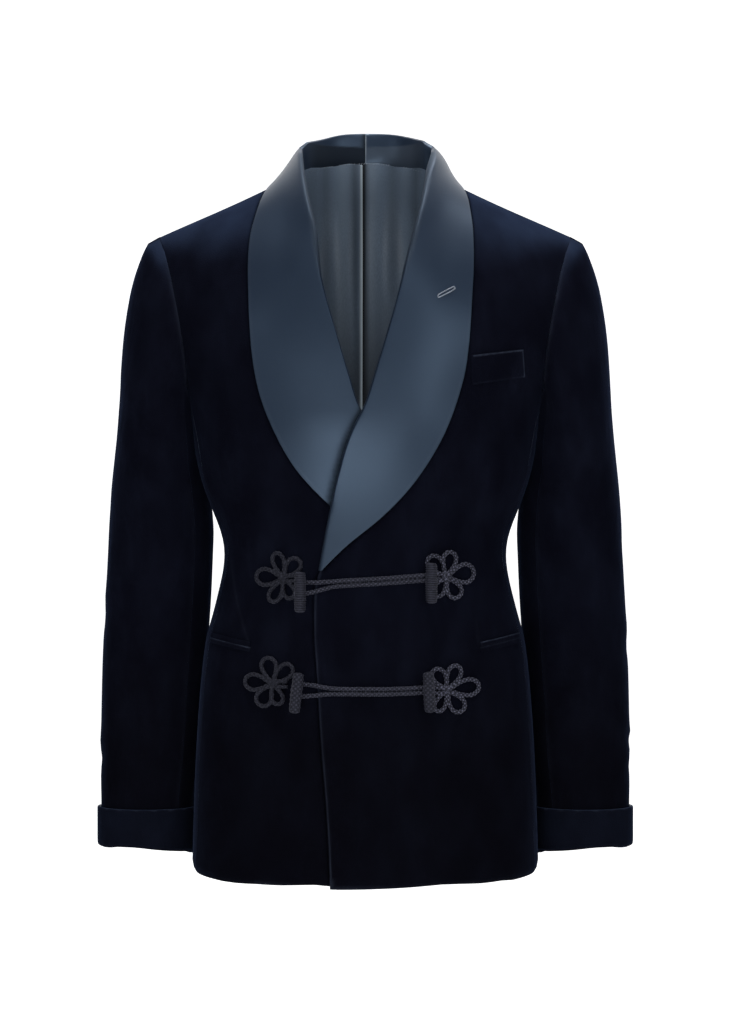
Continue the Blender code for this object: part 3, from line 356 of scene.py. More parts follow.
# One petal's loop: share of its length from the centre, share of its half width
PETAL_OUTLINE = ((-0.10, 0.20), (0.13, 0.22), (0.44, 0.80), (0.75, 1.00), (0.97, 0.46),
                 (0.97, -0.46), (0.75, -1.00), (0.44, -0.80), (0.13, -0.22), (-0.10, -0.20))
ROSETTES = {"upper_left": (0.0799, -0.4000), "lower_left": (0.0804, -0.5131),
            "upper_right": (-0.0807, -0.4018), "lower_right": (-0.0920, -0.5072)}
# Cords from a rosette to its barrel: start and end along x, height over the centre
NECKS = [(0.002, 0.015, 0.0026), (0.002, 0.015, -0.0026)]
# Double cords: x, z and half spread from the barrel to the toggle
CORD_COLUMNS = ("x", "z", "spread")
CORDS = {
    "upper": [(0.0690, -0.4000, 0.0026), (0.0550, -0.4010, 0.0025), (0.0200, -0.4035, 0.0025),
              (-0.0222, -0.4060, 0.0025), (-0.0320, -0.4070, 0.0026), (-0.0420, -0.4086, 0.0036),
              (-0.0520, -0.4104, 0.0048), (-0.0620, -0.4114, 0.0052)],
    "lower": [(0.0670, -0.5120, 0.0026), (0.0550, -0.5128, 0.0025), (0.0200, -0.5140, 0.0025),
              (-0.0222, -0.5138, 0.0025), (-0.0320, -0.5136, 0.0027), (-0.0420, -0.5133, 0.0036),
              (-0.0520, -0.5130, 0.0052), (-0.0650, -0.5130, 0.0056)],
}
# Where the step between the fronts is measured, by x and by the row of a cord, and the rounds of
# smoothing that carry a cord over it
LAP_PROBE = -0.030
LAP_ROW = 3
CORD_ROUNDS = 40
# Barrels and toggles: node, lean in degrees, sideways seat, whether wrapped in rings or plaited
BARRELS = [("barrel_upper_left", 0.0, -0.0036, "wrapped"), ("barrel_lower_left", 2.5, -0.0020, "plaited"),
           ("toggle_upper_right", 0.0, 0.0056, "wrapped"), ("toggle_lower_right", -6.5, 0.0038, "plaited")]
BARREL_LENGTH = 0.0405
BARREL_RADIUS = 0.0061
BARREL_SIDES = 32
# Taper to the ends, where the rounded end begins, its length, and the least radius
BARREL_TAPER = 0.10
BARREL_END = 0.88
BARREL_CAP = 0.13
BARREL_TIP = 0.0004
WRAPS = 18
WRAP_STEPS = 7
WRAP_DEPTH = 0.00060
BARREL_STRANDS = 7
BARREL_PITCH = 0.0046
BARREL_PLAIT = 0.11
# Heights that make each barrel's grooves, and the least darkening towards their painted shade
BARREL_GROOVE = {"wrapped": (1.0, 0.45), "plaited": (0.82, 0.16)}
BARREL_DARK = {"wrapped": 0.78, "plaited": 0.65}

# Handwork
BUTTONHOLE_INNER = (0.0738, -0.1192)
BUTTONHOLE_OUTER = (0.0878, -0.1114)
BUTTONHOLE_HALF_WIDTH = 0.0014
THREAD_RADIUS = 0.00075
THREAD_STEP = 0.00020
THREAD_WRAP = 0.00085
THREAD_ROUND = 3
THREAD_SINK = 0.5
THREAD_RIB = 0.20
FELL_COUNT = 46
FELL_REACH = 0.0600
FELL_TOP = 0.0338
FELL_DROP = 0.0118
FELL_LONG = 0.0022
FELL_WIDE = 0.00042
FELL_LEAN = math.radians(32.0)
FELL_EVEN = 0.8
FELL_FACETS = (6, 4)

# Patterns of the finishes: stretch, detail, and the levels between which each is brought out
VELVET_PATCHES = ((26.0, 26.0, 17.0), 3.0, 0.36, 0.70)
VELVET_STROKES = ((90.0, 90.0, 30.0), 3.0, 0.35, 0.75)
VELVET_PILE = ((900.0, 900.0, 700.0), 2.0, 0.30, 0.70)
SATIN_FLOATS = ((1500.0, 1500.0, 500.0), 2.0, 0.20, 0.80)
SATIN_SLUBS = ((60.0, 60.0, 300.0), 1.0, 0.30, 0.90)
SATIN_TONES = ((14.0, 14.0, 10.0), 2.0, 0.30, 0.75)
LINING_RIBS = ((1300.0, 1300.0, 300.0), 2.0, 0.30, 0.70)
LINING_TONES = ((26.0, 26.0, 5.0), 3.0, 0.32, 0.72)
CORD_FIBRES = ((1800.0, 1800.0, 1800.0), 2.0, 0.30, 0.70)
CORD_WEAR = ((90.0, 90.0, 90.0), 2.0, 0.30, 0.75)
THREAD_TWIST = ((2400.0, 2400.0, 2400.0), 1.0, 0.30, 0.70)
# Bumps: strength, distance
STROKE_BUMP = (0.25, 0.0012)
PILE_BUMP = (0.35, 0.0004)
SLUB_BUMP = (0.05, 0.0006)
FLOAT_BUMP = (0.09, 0.0003)
TONE_BUMP = (0.10, 0.0020)
RIB_BUMP = (0.03, 0.0003)
FIBRE_BUMP = (0.25, 0.0003)
TWIST_BUMP = (0.20, 0.0002)
# How far a pattern works on another: slope, start
BRUSHED_RANGE = (0.6, 0.4)
UPWARD_HIGHLIGHT_RANGE = (0.4, 0.6)
EDGE_RANGE = (0.5, 0.5)
SATIN_RANGE = (0.6, 0.2)
SATIN_ROUGH = (0.06, 0.36)
LINING_RANGE = (0.6, 0.4)
LINING_ROUGH = (0.5, 0.42)
# Roughness where it is even, the darkest share of each colour, and the shares of grain, dulling and wear
ROUGH = {"velvet": 0.92, "satin": 0.40, "lining": 0.42, "cord": 0.60, "thread": 0.45, "paper": 0.9}
DEEPEST = {"velvet": 0.1, "satin": 0.1, "lining": 0.08, "thread": 0.6}
GRAIN_SHARE = 0.35
DULL_SHARE = 0.6
WEAR_SHARE = 0.45

# The paper that lights the jacket: its half width, near and far edge, bend and height, and the depths
# at which it begins to glow and glows fully
COVE_HALF = 6.0
COVE_NEAR = -5.0
COVE_FAR = 1.6
COVE_BEND = 0.8
COVE_STEPS = 16
COVE_HIGH = 4.0
GLOW_RISE = (-0.3, 1.0)
# The ground that shows all round: its radius, bend and height, and the depths of its even glow
ROOM = 9.0
ROOM_BEND = 2.0
ROOM_HIGH = 12.0
ROOM_STEPS = 9
ROOM_SIDES = 48
ROOM_GLOW = (-40.0, -30.0)
PALE = (0.86, 0.86, 0.86)
# Lights: name, place, aim, width, height, power
LIGHTS = [
    ("low_key", (-0.30, -2.4, -0.72), (0.0, 0.0, -0.30), 1.4, 0.50, 16.0),
    ("right_key", (1.45, -2.4, 0.25), (0.0, 0.0, -0.20), 1.2, 1.2, 15.0),
    ("left_high", (-2.1, -2.0, 0.45), (0.0, 0.0, 0.0), 0.6, 0.8, 4.0),
    ("front_top", (0.0, -2.0, 1.5), (0.0, 0.0, 0.0), 1.2, 0.6, 8.0),
    ("overhead", (0.12, -0.1, 1.5), (0.0, 0.0, -0.1), 1.6, 0.9, 40.0),
]
WHITE = (1.0, 1.0, 1.0, 1.0)
SENSOR = 36.0


def length(name, description, default):
    return FloatProperty(name=name, description=description, default=default, unit="LENGTH")


def colour_of(name, description, default):
    return FloatVectorProperty(name=name, description=description, default=default, subtype="COLOR")


class JacketCloth(bpy.types.PropertyGroup):
    """Sizes of the sewn cloth"""
    fineness: IntProperty(name="Fineness", description="Subdivisions of each cloth panel",
                          default=2, min=1, max=4)
    close_fineness: IntProperty(name="Close fineness", description="Subdivisions where finer lines show",
                                default=3, min=1, max=4)
    rim: length("Rim", "Rounding of the folded and seamed edges", 0.0009)
    trim_rim: length("Trim rim", "Rounding of the pocket edges", 0.0005)
    folds: FloatProperty(name="Folds", description="Strength of the soft folds", default=1.0,
                         subtype="FACTOR")


class JacketColours(bpy.types.PropertyGroup):
    """Colours of the finishes"""
    velvet: colour_of("Velvet", "Velvet where the pile is upright", (0.0031, 0.0034, 0.0070))
    velvet_brushed: colour_of("Brushed velvet", "Velvet where the pile lies over", (0.0064, 0.0078, 0.0156))
    # Painted highlight on velvet that faces upward
    velvet_upward_highlight: colour_of("Upper velvet", "Velvet where the pile lies upward", (0.0145, 0.0220, 0.0440))
    velvet_low: colour_of("Lower velvet", "Velvet low down, away from the light", (0.0019, 0.0017, 0.0021))
    # Painted highlight along folded edges, seams, darts and pocket edges
    velvet_rim: colour_of("Velvet rim", "Pile that opens along folded edges", (0.040, 0.049, 0.076))
    velvet_sheen: colour_of("Velvet sheen", "Tint of the pile's sheen", (0.34, 0.48, 0.95))
    satin: colour_of("Satin", "Lapel satin", (0.014, 0.024, 0.044))
    satin_shade: colour_of("Satin shade", "Lapel satin between its floats", (0.009, 0.015, 0.029))
    # Painted highlight along the collar's edges, its centre back seam and inside the left half of the stand
    satin_rim: colour_of("Satin rim", "Lapel satin along its folded edges", (0.24, 0.275, 0.31))
    satin_gloss: colour_of("Satin gloss", "Tint of the satin's gloss", (0.51, 0.72, 1.0))
    lining: colour_of("Lining", "Back lining", (0.200, 0.268, 0.364))
    lining_shade: colour_of("Lining shade", "Back lining between its ribs", (0.134, 0.182, 0.250))
    # Painted highlight on the pleat's fold and on the light streaks of the drape
    lining_fold: colour_of("Lining fold", "Back lining on the fold of its pleat", (0.44, 0.52, 0.58))
    cord: colour_of("Cord", "Braided cord on its strands", (0.078, 0.080, 0.116))
    cord_worn: colour_of("Worn cord", "Braided cord where its strands are rubbed", (0.105, 0.108, 0.150))
    # Painted shade between the strands
    cord_groove: colour_of("Cord groove", "Braided cord between its strands", (0.0030, 0.0031, 0.0046))
    cord_gloss: colour_of("Cord gloss", "Tint of the cord's gloss and sheen", (0.70, 0.74, 1.0))
    thread: colour_of("Thread", "Buttonhole and felling thread", (0.200, 0.235, 0.295))


class JacketStage(bpy.types.PropertyGroup):
    """Camera and light"""
    distance: length("Distance", "Camera from the jacket's middle plane", 3.0)
    height: length("Height", "Camera's height", -0.335)
    span: length("Span", "Height that the picture covers at the middle plane", 1.06496)
    shift: FloatProperty(name="Shift", description="Sideways shift of the picture", default=0.0002)
    floor: length("Floor", "Height of the floor", -1.05)
    glow: FloatProperty(name="Glow", description="Brightness of the backdrop", default=0.78)
    room_glow: FloatProperty(name="Room glow", description="Brightness of the ground all round", default=1.0)
    ambient: FloatProperty(name="Ambient", description="Light from all round", default=0.06)


# Materials

def new_material(name, colour, roughness):
    """A new material, its nodes and its shader."""
    made = bpy.data.materials.new(name)
    made.use_nodes = True
    made.diffuse_color = (*colour, 1.0)
    shader = made.node_tree.nodes["Principled BSDF"]
    shader.inputs["Base Color"].default_value = (*colour, 1.0)
    shader.inputs["Roughness"].default_value = roughness
    return made, made.node_tree, shader


def settle(shader, settings):
    """Sets sockets of a shader by their names."""
    for socket, value in settings.items():
        shader.inputs[socket].default_value = value


def deepened(colour, share):
    return tuple(share * c for c in colour)


def mapped(tree, scale):
    """Object coordinates stretched by a scale."""
    place = tree.nodes.new("ShaderNodeTexCoord")
    stretch = tree.nodes.new("ShaderNodeMapping")
    stretch.inputs["Scale"].default_value = scale
    tree.links.new(place.outputs["Object"], stretch.inputs["Vector"])
    return stretch.outputs["Vector"]


def cloudy(tree, scale, detail, low, high):
    """Noise brought out between two levels."""
    noise = tree.nodes.new("ShaderNodeTexNoise")
    noise.inputs["Scale"].default_value = 1.0
    noise.inputs["Detail"].default_value = detail
    tree.links.new(mapped(tree, scale), noise.inputs["Vector"])
    spread = tree.nodes.new("ShaderNodeMapRange")
    spread.inputs["From Min"].default_value = low
    spread.inputs["From Max"].default_value = high
    tree.links.new(noise.outputs["Fac"], spread.inputs["Value"])
    return spread.outputs["Result"]


def named(tree, attribute):
    """A value painted on the points of a mesh."""
    reader = tree.nodes.new("ShaderNodeAttribute")
    reader.attribute_name = attribute
    return reader.outputs["Fac"]


def blended(tree, share, first, second):
    """Colour between two, which are colours or the outputs of nodes."""
    mix = tree.nodes.new("ShaderNodeMix")
    mix.data_type = "RGBA"
    tree.links.new(share, mix.inputs["Factor"])
    for socket, colour in (("A", first), ("B", second)):
        target = next(s for s in mix.inputs if s.name == socket and s.type == "RGBA")
        if isinstance(colour, bpy.types.NodeSocket):
            tree.links.new(colour, target)
        else:
            target.default_value = (*colour, 1.0)
    return next(s for s in mix.outputs if s.type == "RGBA")


def worked(tree, operation, first, second):
    """A sum of two values, which are numbers or the outputs of nodes."""
    sum_node = tree.nodes.new("ShaderNodeMath")
    sum_node.operation = operation
    for socket, value in zip(sum_node.inputs, (first, second)):
        if isinstance(value, bpy.types.NodeSocket):
            tree.links.new(value, socket)
        else:
            socket.default_value = value
    return sum_node.outputs["Value"]


def ramped(tree, axis, ends, values):
    """A value that changes along one axis of the object."""
    place = tree.nodes.new("ShaderNodeTexCoord")
    axes = tree.nodes.new("ShaderNodeSeparateXYZ")
    tree.links.new(place.outputs["Object"], axes.inputs["Vector"])
    rise = tree.nodes.new("ShaderNodeMapRange")
    for socket, value in zip(("From Min", "From Max", "To Min", "To Max"), (*ends, *values)):
        rise.inputs[socket].default_value = value
    tree.links.new(axes.outputs[axis], rise.inputs["Value"])
    return rise.outputs["Result"]


def eased(tree, value, slope, start):
    """A value brought to slope times itself plus a start."""
    out = worked(tree, "MULTIPLY_ADD", value, slope)
    out.node.inputs[2].default_value = start
    return out


def raised(tree, shader, layers):
    """Bumps laid one on another: height, strength, distance."""
    last = None
    for height, strength, distance in layers:
        bump = tree.nodes.new("ShaderNodeBump")
        bump.inputs["Strength"].default_value = strength
        bump.inputs["Distance"].default_value = distance
        tree.links.new(height, bump.inputs["Height"])
        if last is not None:
            tree.links.new(last, bump.inputs["Normal"])
        last = bump.outputs["Normal"]
    tree.links.new(last, shader.inputs["Normal"])


def velvet_finish():
    colours = bpy.context.scene.jacket_colours
    made, tree, shader = new_material("velvet_pile", colours.velvet, ROUGH["velvet"])
    patches = cloudy(tree, *VELVET_PATCHES)
    strokes = cloudy(tree, *VELVET_STROKES)
    pile = cloudy(tree, *VELVET_PILE)
    lying = worked(tree, "MULTIPLY", patches, eased(tree, strokes, *BRUSHED_RANGE))
    colour = blended(tree, lying, colours.velvet, colours.velvet_brushed)
    grain = blended(tree, worked(tree, "MULTIPLY", pile, GRAIN_SHARE), colour, colours.velvet)
    low = ramped(tree, "Z", VELVET_LOW, (0.0, VELVET_LOW_SHARE))
    lower = blended(tree, low, grain, colours.velvet_low)
    # Painted highlight where the velvet faces upward
    upward_highlight = worked(tree, "MULTIPLY", named(tree, "upward_highlight"), eased(tree, patches, *UPWARD_HIGHLIGHT_RANGE))
    upper = blended(tree, upward_highlight, lower, colours.velvet_upward_highlight)
    # Painted highlight along the edges
    edge = worked(tree, "MULTIPLY", named(tree, "rim"), eased(tree, strokes, *EDGE_RANGE))
    lit = blended(tree, edge, upper, colours.velvet_rim)
    shaded = blended(tree, named(tree, "shade"), lit, deepened(colours.velvet, DEEPEST["velvet"]))
    tree.links.new(shaded, shader.inputs["Base Color"])
    settle(shader, {"Specular IOR Level": 0.0, "Sheen Weight": 0.06, "Sheen Roughness": 0.30,
                    "Sheen Tint": (*colours.velvet_sheen, 1.0)})
    raised(tree, shader, [(strokes, *STROKE_BUMP), (pile, *PILE_BUMP)])
    return made


def satin_finish():
    colours = bpy.context.scene.jacket_colours
    made, tree, shader = new_material("lapel_satin", colours.satin, ROUGH["satin"])
    floats = cloudy(tree, *SATIN_FLOATS)
    slubs = cloudy(tree, *SATIN_SLUBS)
    tones = cloudy(tree, *SATIN_TONES)
    share = worked(tree, "MULTIPLY", eased(tree, tones, *SATIN_RANGE), floats)
    colour = blended(tree, share, colours.satin_shade, colours.satin)
    # Painted highlight along the satin's edges
    edge = blended(tree, named(tree, "rim"), colour, colours.satin_rim)
    # Velvet colour inside the stand, partly the velvet and partly painted shade
    under = blended(tree, named(tree, "stand"), edge, colours.velvet)
    shaded = blended(tree, named(tree, "shade"), under, deepened(colours.satin_shade, DEEPEST["satin"]))
    tree.links.new(shaded, shader.inputs["Base Color"])
    rough = eased(tree, floats, *SATIN_ROUGH)
    dull_and_shade = worked(tree, "MAXIMUM", named(tree, "stand"), named(tree, "shade"))
    soft = worked(tree, "ADD", rough, worked(tree, "MULTIPLY", dull_and_shade, DULL_SHARE))
    tree.links.new(soft, shader.inputs["Roughness"])
    settle(shader, {"Specular IOR Level": 0.65, "Specular Tint": (*colours.satin_gloss, 1.0)})
    raised(tree, shader, [(slubs, *SLUB_BUMP), (floats, *FLOAT_BUMP)])
    return made


def lining_finish():
    colours = bpy.context.scene.jacket_colours
    made, tree, shader = new_material("back_lining", colours.lining, ROUGH["lining"])
    ribs = cloudy(tree, *LINING_RIBS)
    tones = cloudy(tree, *LINING_TONES)
    share = worked(tree, "MULTIPLY", eased(tree, tones, *LINING_RANGE), ribs)
    colour = blended(tree, share, colours.lining_shade, colours.lining)
    glint = blended(tree, named(tree, "rim"), colour, colours.lining_fold)
    shaded = blended(tree, named(tree, "shade"), glint, deepened(colours.lining_shade, DEEPEST["lining"]))
    tree.links.new(shaded, shader.inputs["Base Color"])
    tree.links.new(eased(tree, named(tree, "shade"), *LINING_ROUGH), shader.inputs["Roughness"])
    settle(shader, {"Specular IOR Level": 0.50})
    raised(tree, shader, [(tones, *TONE_BUMP), (ribs, *RIB_BUMP)])
    return made


def cord_finish():
    colours = bpy.context.scene.jacket_colours
    made, tree, shader = new_material("braided_cord", colours.cord, ROUGH["cord"])
    fibres = cloudy(tree, *CORD_FIBRES)
    worn = cloudy(tree, *CORD_WEAR)
    strand = blended(tree, worked(tree, "MULTIPLY", worn, WEAR_SHARE), colours.cord, colours.cord_worn)
    # Painted shade in the grooves between the strands
    colour = blended(tree, named(tree, "groove"), strand, colours.cord_groove)
    tree.links.new(colour, shader.inputs["Base Color"])
    gloss = (*colours.cord_gloss, 1.0)
    settle(shader, {"Specular IOR Level": 0.30, "Specular Tint": gloss, "Sheen Weight": 0.10,
                    "Sheen Roughness": 0.40, "Sheen Tint": gloss})
    raised(tree, shader, [(fibres, *FIBRE_BUMP)])
    return made


def thread_finish():
    colours = bpy.context.scene.jacket_colours
    made, tree, shader = new_material("silk_thread", colours.thread, ROUGH["thread"])
    twist = cloudy(tree, *THREAD_TWIST)
    colour = blended(tree, twist, deepened(colours.thread, DEEPEST["thread"]), colours.thread)
    tree.links.new(colour, shader.inputs["Base Color"])
    settle(shader, {"Sheen Weight": 0.10})
    raised(tree, shader, [(twist, *TWIST_BUMP)])
    return made


FINISHES = {"velvet": velvet_finish, "satin": satin_finish, "lining": lining_finish,
            "cord": cord_finish, "thread": thread_finish}
# Finishes, kept once made
MADE_FINISHES = {}


def finish(name):
    if name not in MADE_FINISHES:
        MADE_FINISHES[name] = FINISHES[name]()
    return MADE_FINISHES[name]


# Shared making

def smooth_step(low, high, value):
    """0 at one level and 1 at the other, smooth between them."""
    t = np.clip((value - low) / (high - low), 0.0, 1.0)
    return t * t * (3.0 - 2.0 * t)


def read(columns, table):
    """Rows of a table by the names of its columns."""
    return [dict(zip(columns, row)) for row in table]


def bell(value, middle, width):
    """1 at the middle, falling off to 0 on both sides."""
    return np.exp(-((value - middle) / width) ** 2)


def unit(ways):
    """Directions brought to length 1."""
    return ways / np.maximum(np.linalg.norm(ways, axis=1, keepdims=True), TINY)


def linked(name, data):
    """A new object in the scene."""
    made = bpy.data.objects.new(name, data)
    bpy.context.scene.collection.objects.link(made)
    return made


def dressed(mesh, *names):
    """Gives a mesh its finishes."""
    for name in names:
        mesh.materials.append(finish(name))


def stand(name, mesh, replaced=()):
    """Puts a finished mesh in the scene as a piece of the jacket."""
    piece = linked(name, mesh)
    mesh.polygons.foreach_set("use_smooth", np.ones(len(mesh.polygons), bool))
    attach(piece, "root")
    if replaced:
        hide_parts(*replaced)
    return piece


def triples(items, name, kind=np.float64):
    """One vector of each of a mesh's items, as rows."""
    found = np.zeros(len(items) * 3, kind)
    items.foreach_get(name, found)
    return found.reshape(-1, 3)


def places(mesh):
    """Points of a mesh."""
    return triples(mesh.vertices, "co")


def put_places(mesh, found):
    mesh.vertices.foreach_set("co", found.ravel())
    mesh.update()


def mark(mesh, name, values):
    """Paints a value on the points of a mesh, for its finish to read."""
    layer = mesh.attributes.new(name, "FLOAT", "POINT")
    layer.data.foreach_set("value", np.asarray(values, np.float32))


def merged(mesh):
    """A bmesh of a mesh with its doubled points merged."""
    bm = bmesh.new()
    bm.from_mesh(mesh)
    bmesh.ops.remove_doubles(bm, verts=bm.verts[:], dist=MERGE)
    return bm


def mesh_of(bm, name):
    """A new mesh from a finished bmesh."""
    mesh = bpy.data.meshes.new(name)
    bm.to_mesh(mesh)
    bm.free()
    return mesh


def sharp(edges):
    """The edges at which a panel turns sharply."""
    return [e for e in edges if e.is_manifold and e.calc_face_angle() > RIM_ANGLE]


def rim_line(bm):
    """Points along the sharp edges of a panel."""
    line = []
    for edge in sharp(bm.edges):
        steps = max(2, int(edge.calc_length() / RIM_SAMPLE))
        for i in range(steps + 1):
            line.append(edge.verts[0].co.lerp(edge.verts[1].co, i / steps))
    return line


def point_tree(line):
    """Search tree of points."""
    tree = KDTree(len(line))
    for i, point in enumerate(line):
        tree.insert(point, i)
    tree.balance()
    return tree


def nearness(found, line, reach):
    """1 on a line of points, falling off to 0 beside it."""
    tree = point_tree(line)
    far = np.array([tree.find(p)[2] for p in found])
    return bell(far, 0.0, reach)


def nearness_ahead(found, line, reach):
    """Nearness to a line as seen from in front."""
    flat = np.array((1.0, 0.0, 1.0))
    return nearness(found * flat, [tuple(np.array(p) * flat) for p in line], reach)


def evaluated(piece):
    """A new mesh of a piece with its modifiers applied."""
    bpy.context.view_layer.update()
    return bpy.data.meshes.new_from_object(piece.evaluated_get(bpy.context.evaluated_depsgraph_get()))


def softened(mesh, weight, rounds):
    """Eases the points of a mesh towards their neighbours, by weight."""
    ends = np.zeros(len(mesh.edges) * 2, np.int32)
    mesh.edges.foreach_get("vertices", ends)
    ends = ends.reshape(-1, 2)
    count = np.bincount(ends.ravel(), minlength=len(mesh.vertices))[:, None]
    found = places(mesh)
    for _ in range(rounds):
        total = np.zeros_like(found)
        np.add.at(total, ends[:, 0], found[ends[:, 1]])
        np.add.at(total, ends[:, 1], found[ends[:, 0]])
        found += (total / count - found) * EASE_STEP * weight[:, None]
    put_places(mesh, found)


def rim_faces(bm):
    """The narrow faces that close a panel between its two sides."""
    found = []
    for face in bm.faces:
        edges = sharp(face.edges)
        if any(not set(a.verts) & set(b.verts) for a in edges for b in edges):
            found.append(face)
    return found


def take_up_seams(bm):
    """Lets the rims of a panel run a little into its seams, so no light shows through."""
    push = {}
    for face in rim_faces(bm):
        for vert in face.verts:
            push.setdefault(vert, []).append(face.normal.copy())
    for vert, normals in push.items():
        vert.co += sum(normals, Vector()).normalized() * SEAM_TAKE


# Rims of the nodes, kept once found
RIMS = {}


def node_rim(node):
    """Points along the sharp edges of a node."""
    if node not in RIMS:
        bm = merged(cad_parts[node].data)
        RIMS[node] = rim_line(bm)
        bm.free()
    return RIMS[node]


def edge_light(node):
    """How much light each rim point of a panel takes: open edges most, seams and hems less."""
    line = node_rim(node)
    light = np.full(len(line), FRONT_EDGE if node.startswith("front") else OPEN_EDGE)
    for kind in SEAMED:
        for other in (kind + "_left", kind + "_right"):
            if other != node:
                tree = point_tree(node_rim(other))
                seamed = np.array([tree.find(p)[2] for p in line]) < SEAM_NEAR
                edge = ARMHOLE_EDGE if ("sleeve" in node) != ("sleeve" in other) else SEAM_EDGE
                light[seamed] = np.minimum(light[seamed], edge)
    at = np.array([tuple(p) for p in line])
    if "sleeve" in node:
        light = np.minimum(light, np.where(at[:, 2] > ARMHOLE_LOW, ARMHOLE_EDGE, SEAM_EDGE))
    elif not node.startswith("cuff"):
        sewn = (np.abs(at[:, 0]) > ARMHOLE_WIDE) | (at[:, 1] > NECK_AHEAD) | (not node.startswith("front"))
        light = np.where(sewn, np.minimum(light, SEAM_EDGE), light)
    hem = at[:, 2] < CAD_BOX[0].z + HEM_WITHIN
    return np.where(hem, np.minimum(light, HEM_EDGE), light)


def mark_rim(mesh, line, light, soft=SEAM_WIDE, least=0.0):
    """Marks the light along a panel's edges: narrow on open edges, soft along seams."""
    tree = point_tree(line)
    found = [tree.find(p) for p in places(mesh)]
    far = np.array([f[2] for f in found])
    share = light[[f[1] for f in found]]
    wide = np.where(share > OPEN_FROM, OPEN_WIDE, soft)
    mark(mesh, "rim", np.maximum(share * bell(far, 0.0, wide), least))


def facings(mesh):
    """Directions that the points of a mesh face."""
    return triples(mesh.vertex_normals, "vector", np.float32)


def mark_upward_highlight(mesh, least=0.0):
    """Marks painted highlight where the velvet faces upward, towards the light from above."""
    mark(mesh, "upward_highlight", np.maximum(smooth_step(*UPWARD_HIGHLIGHT_RISE, facings(mesh)[:, 2]), least))


def cloth_mesh(node, name, fineness, rim):
    """A panel as sewn cloth: merged, four-sided, its rims rounded, then subdivided smooth."""
    bm = merged(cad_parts[node].data)
    bmesh.ops.join_triangles(bm, faces=bm.faces[:], angle_face_threshold=PAIR_ANGLE,
                             angle_shape_threshold=math.pi, topology_influence=GRID_PULL)
    take_up_seams(bm)
    bmesh.ops.bevel(bm, geom=sharp(bm.edges), offset=rim, offset_type="OFFSET", segments=RIM_STEPS,
                    profile=0.5, affect="EDGES", material=-1, clamp_overlap=True)
    rough = mesh_of(bm, name + "_rough")
    holder = linked(name + "_rough", rough)
    finer = holder.modifiers.new("finer", "SUBSURF")
    finer.levels = finer.render_levels = fineness
    pattern = places(rough)
    cage = pattern.copy()
    for _ in range(FIT_ROUNDS):
        made = evaluated(holder)
        cage += pattern - places(made)[:len(pattern)]
        bpy.data.meshes.remove(made)
        put_places(rough, cage)
    mesh = evaluated(holder)
    mesh.name = name
    bpy.data.objects.remove(holder)
    bpy.data.meshes.remove(rough)
    return mesh


def torso_out(found):
    """Level direction out of the torso."""
    way = np.stack([found[:, 0] / TORSO_WIDE ** 2, found[:, 1] / TORSO_DEEP ** 2, 0.0 * found[:, 2]], 1)
    return unit(way)


def sleeve_centre(found, side):
    """Points on the middle line of a sleeve, level with the points given."""
    x = np.interp(found[:, 2], SLEEVE_LINE["z"], SLEEVE_LINE["x"]) * FLIP[side]
    y = np.interp(found[:, 2], SLEEVE_LINE["z"], SLEEVE_LINE["y"])
    return np.stack([x, y, found[:, 2]], 1)


def fold_shape(across):
    """Section of a soft fold: a trough with a low ridge beside it."""
    return bell(across, 0.0, 1.0) - RIDGE_SHARE * bell(across, RIDGE_AWAY, 1.0)


def sleeve_folds(found, side):
    """Shift of sleeve points into their folds."""
    away = found - sleeve_centre(found, side)
    angle = np.arctan2(-away[:, 1], away[:, 0] * FLIP[side])
    shift = np.zeros(len(found))
    for fold in read(SLEEVE_FOLD_COLUMNS, SLEEVE_FOLDS[side]):
        turn = (angle - math.radians(fold["around"]) + math.pi) % (2.0 * math.pi) - math.pi
        across = (found[:, 2] - fold["height"] - fold["slant"] * SLEEVE_ROUND * turn) / fold["width"]
        shift += fold["depth"] * fold_shape(across) * bell(turn, 0.0, fold["reach"])
    shift *= smooth_step(*FOLD_FADE_TOP, found[:, 2]) * bpy.context.scene.jacket_cloth.folds
    return unit(away) * shift[:, None]


def sleeve_head(mesh, side):
    """Rounds the sleeve head and fills it out beside the armhole seam."""
    found = places(mesh)
    line = [p for p in node_rim("top_sleeve_" + side) if p.z > HEAD_FROM[0]]
    clear = 1.0 - nearness(found, line, HEAD_SEAM)
    high = smooth_step(*HEAD_FROM, found[:, 2])
    softened(mesh, high * clear, HEAD_ROUNDS)
    found = places(mesh)
    away = unit(found - np.array(HEAD_MIDDLE) * np.array((FLIP[side], 1.0, 1.0)))
    put_places(mesh, found + away * (HEAD_RISE * high * clear)[:, None])


def sleeve_rest(found, side):
    """Points of a sleeve with its upper arm resting against the body and its cuff level."""
    flip = FLIP[side]
    away = found - sleeve_centre(found, side)
    inner = smooth_step(0.0, -SLEEVE_ROUND * REST_FULL, away[:, 0] * flip)
    high = smooth_step(*REST_TOP, found[:, 2]) * smooth_step(*REST_LOW, found[:, 2])
    found = found.copy()
    found[:, 0] -= flip * REST_TAKE * inner * high
    outer = smooth_step(0.0, SLEEVE_ROUND * REST_FULL, away[:, 0] * flip)
    found[:, 0] -= flip * OUTER_TAKE * outer * bell(found[:, 2], OUTER_AT, OUTER_HIGH)
    ahead = smooth_step(*CUFF_AHEAD, away[:, 1]) * smooth_step(*CUFF_LOW, found[:, 2])
    found[:, 2] += ahead * np.interp(away[:, 0] * flip, *CUFF_LIFT)
    return found


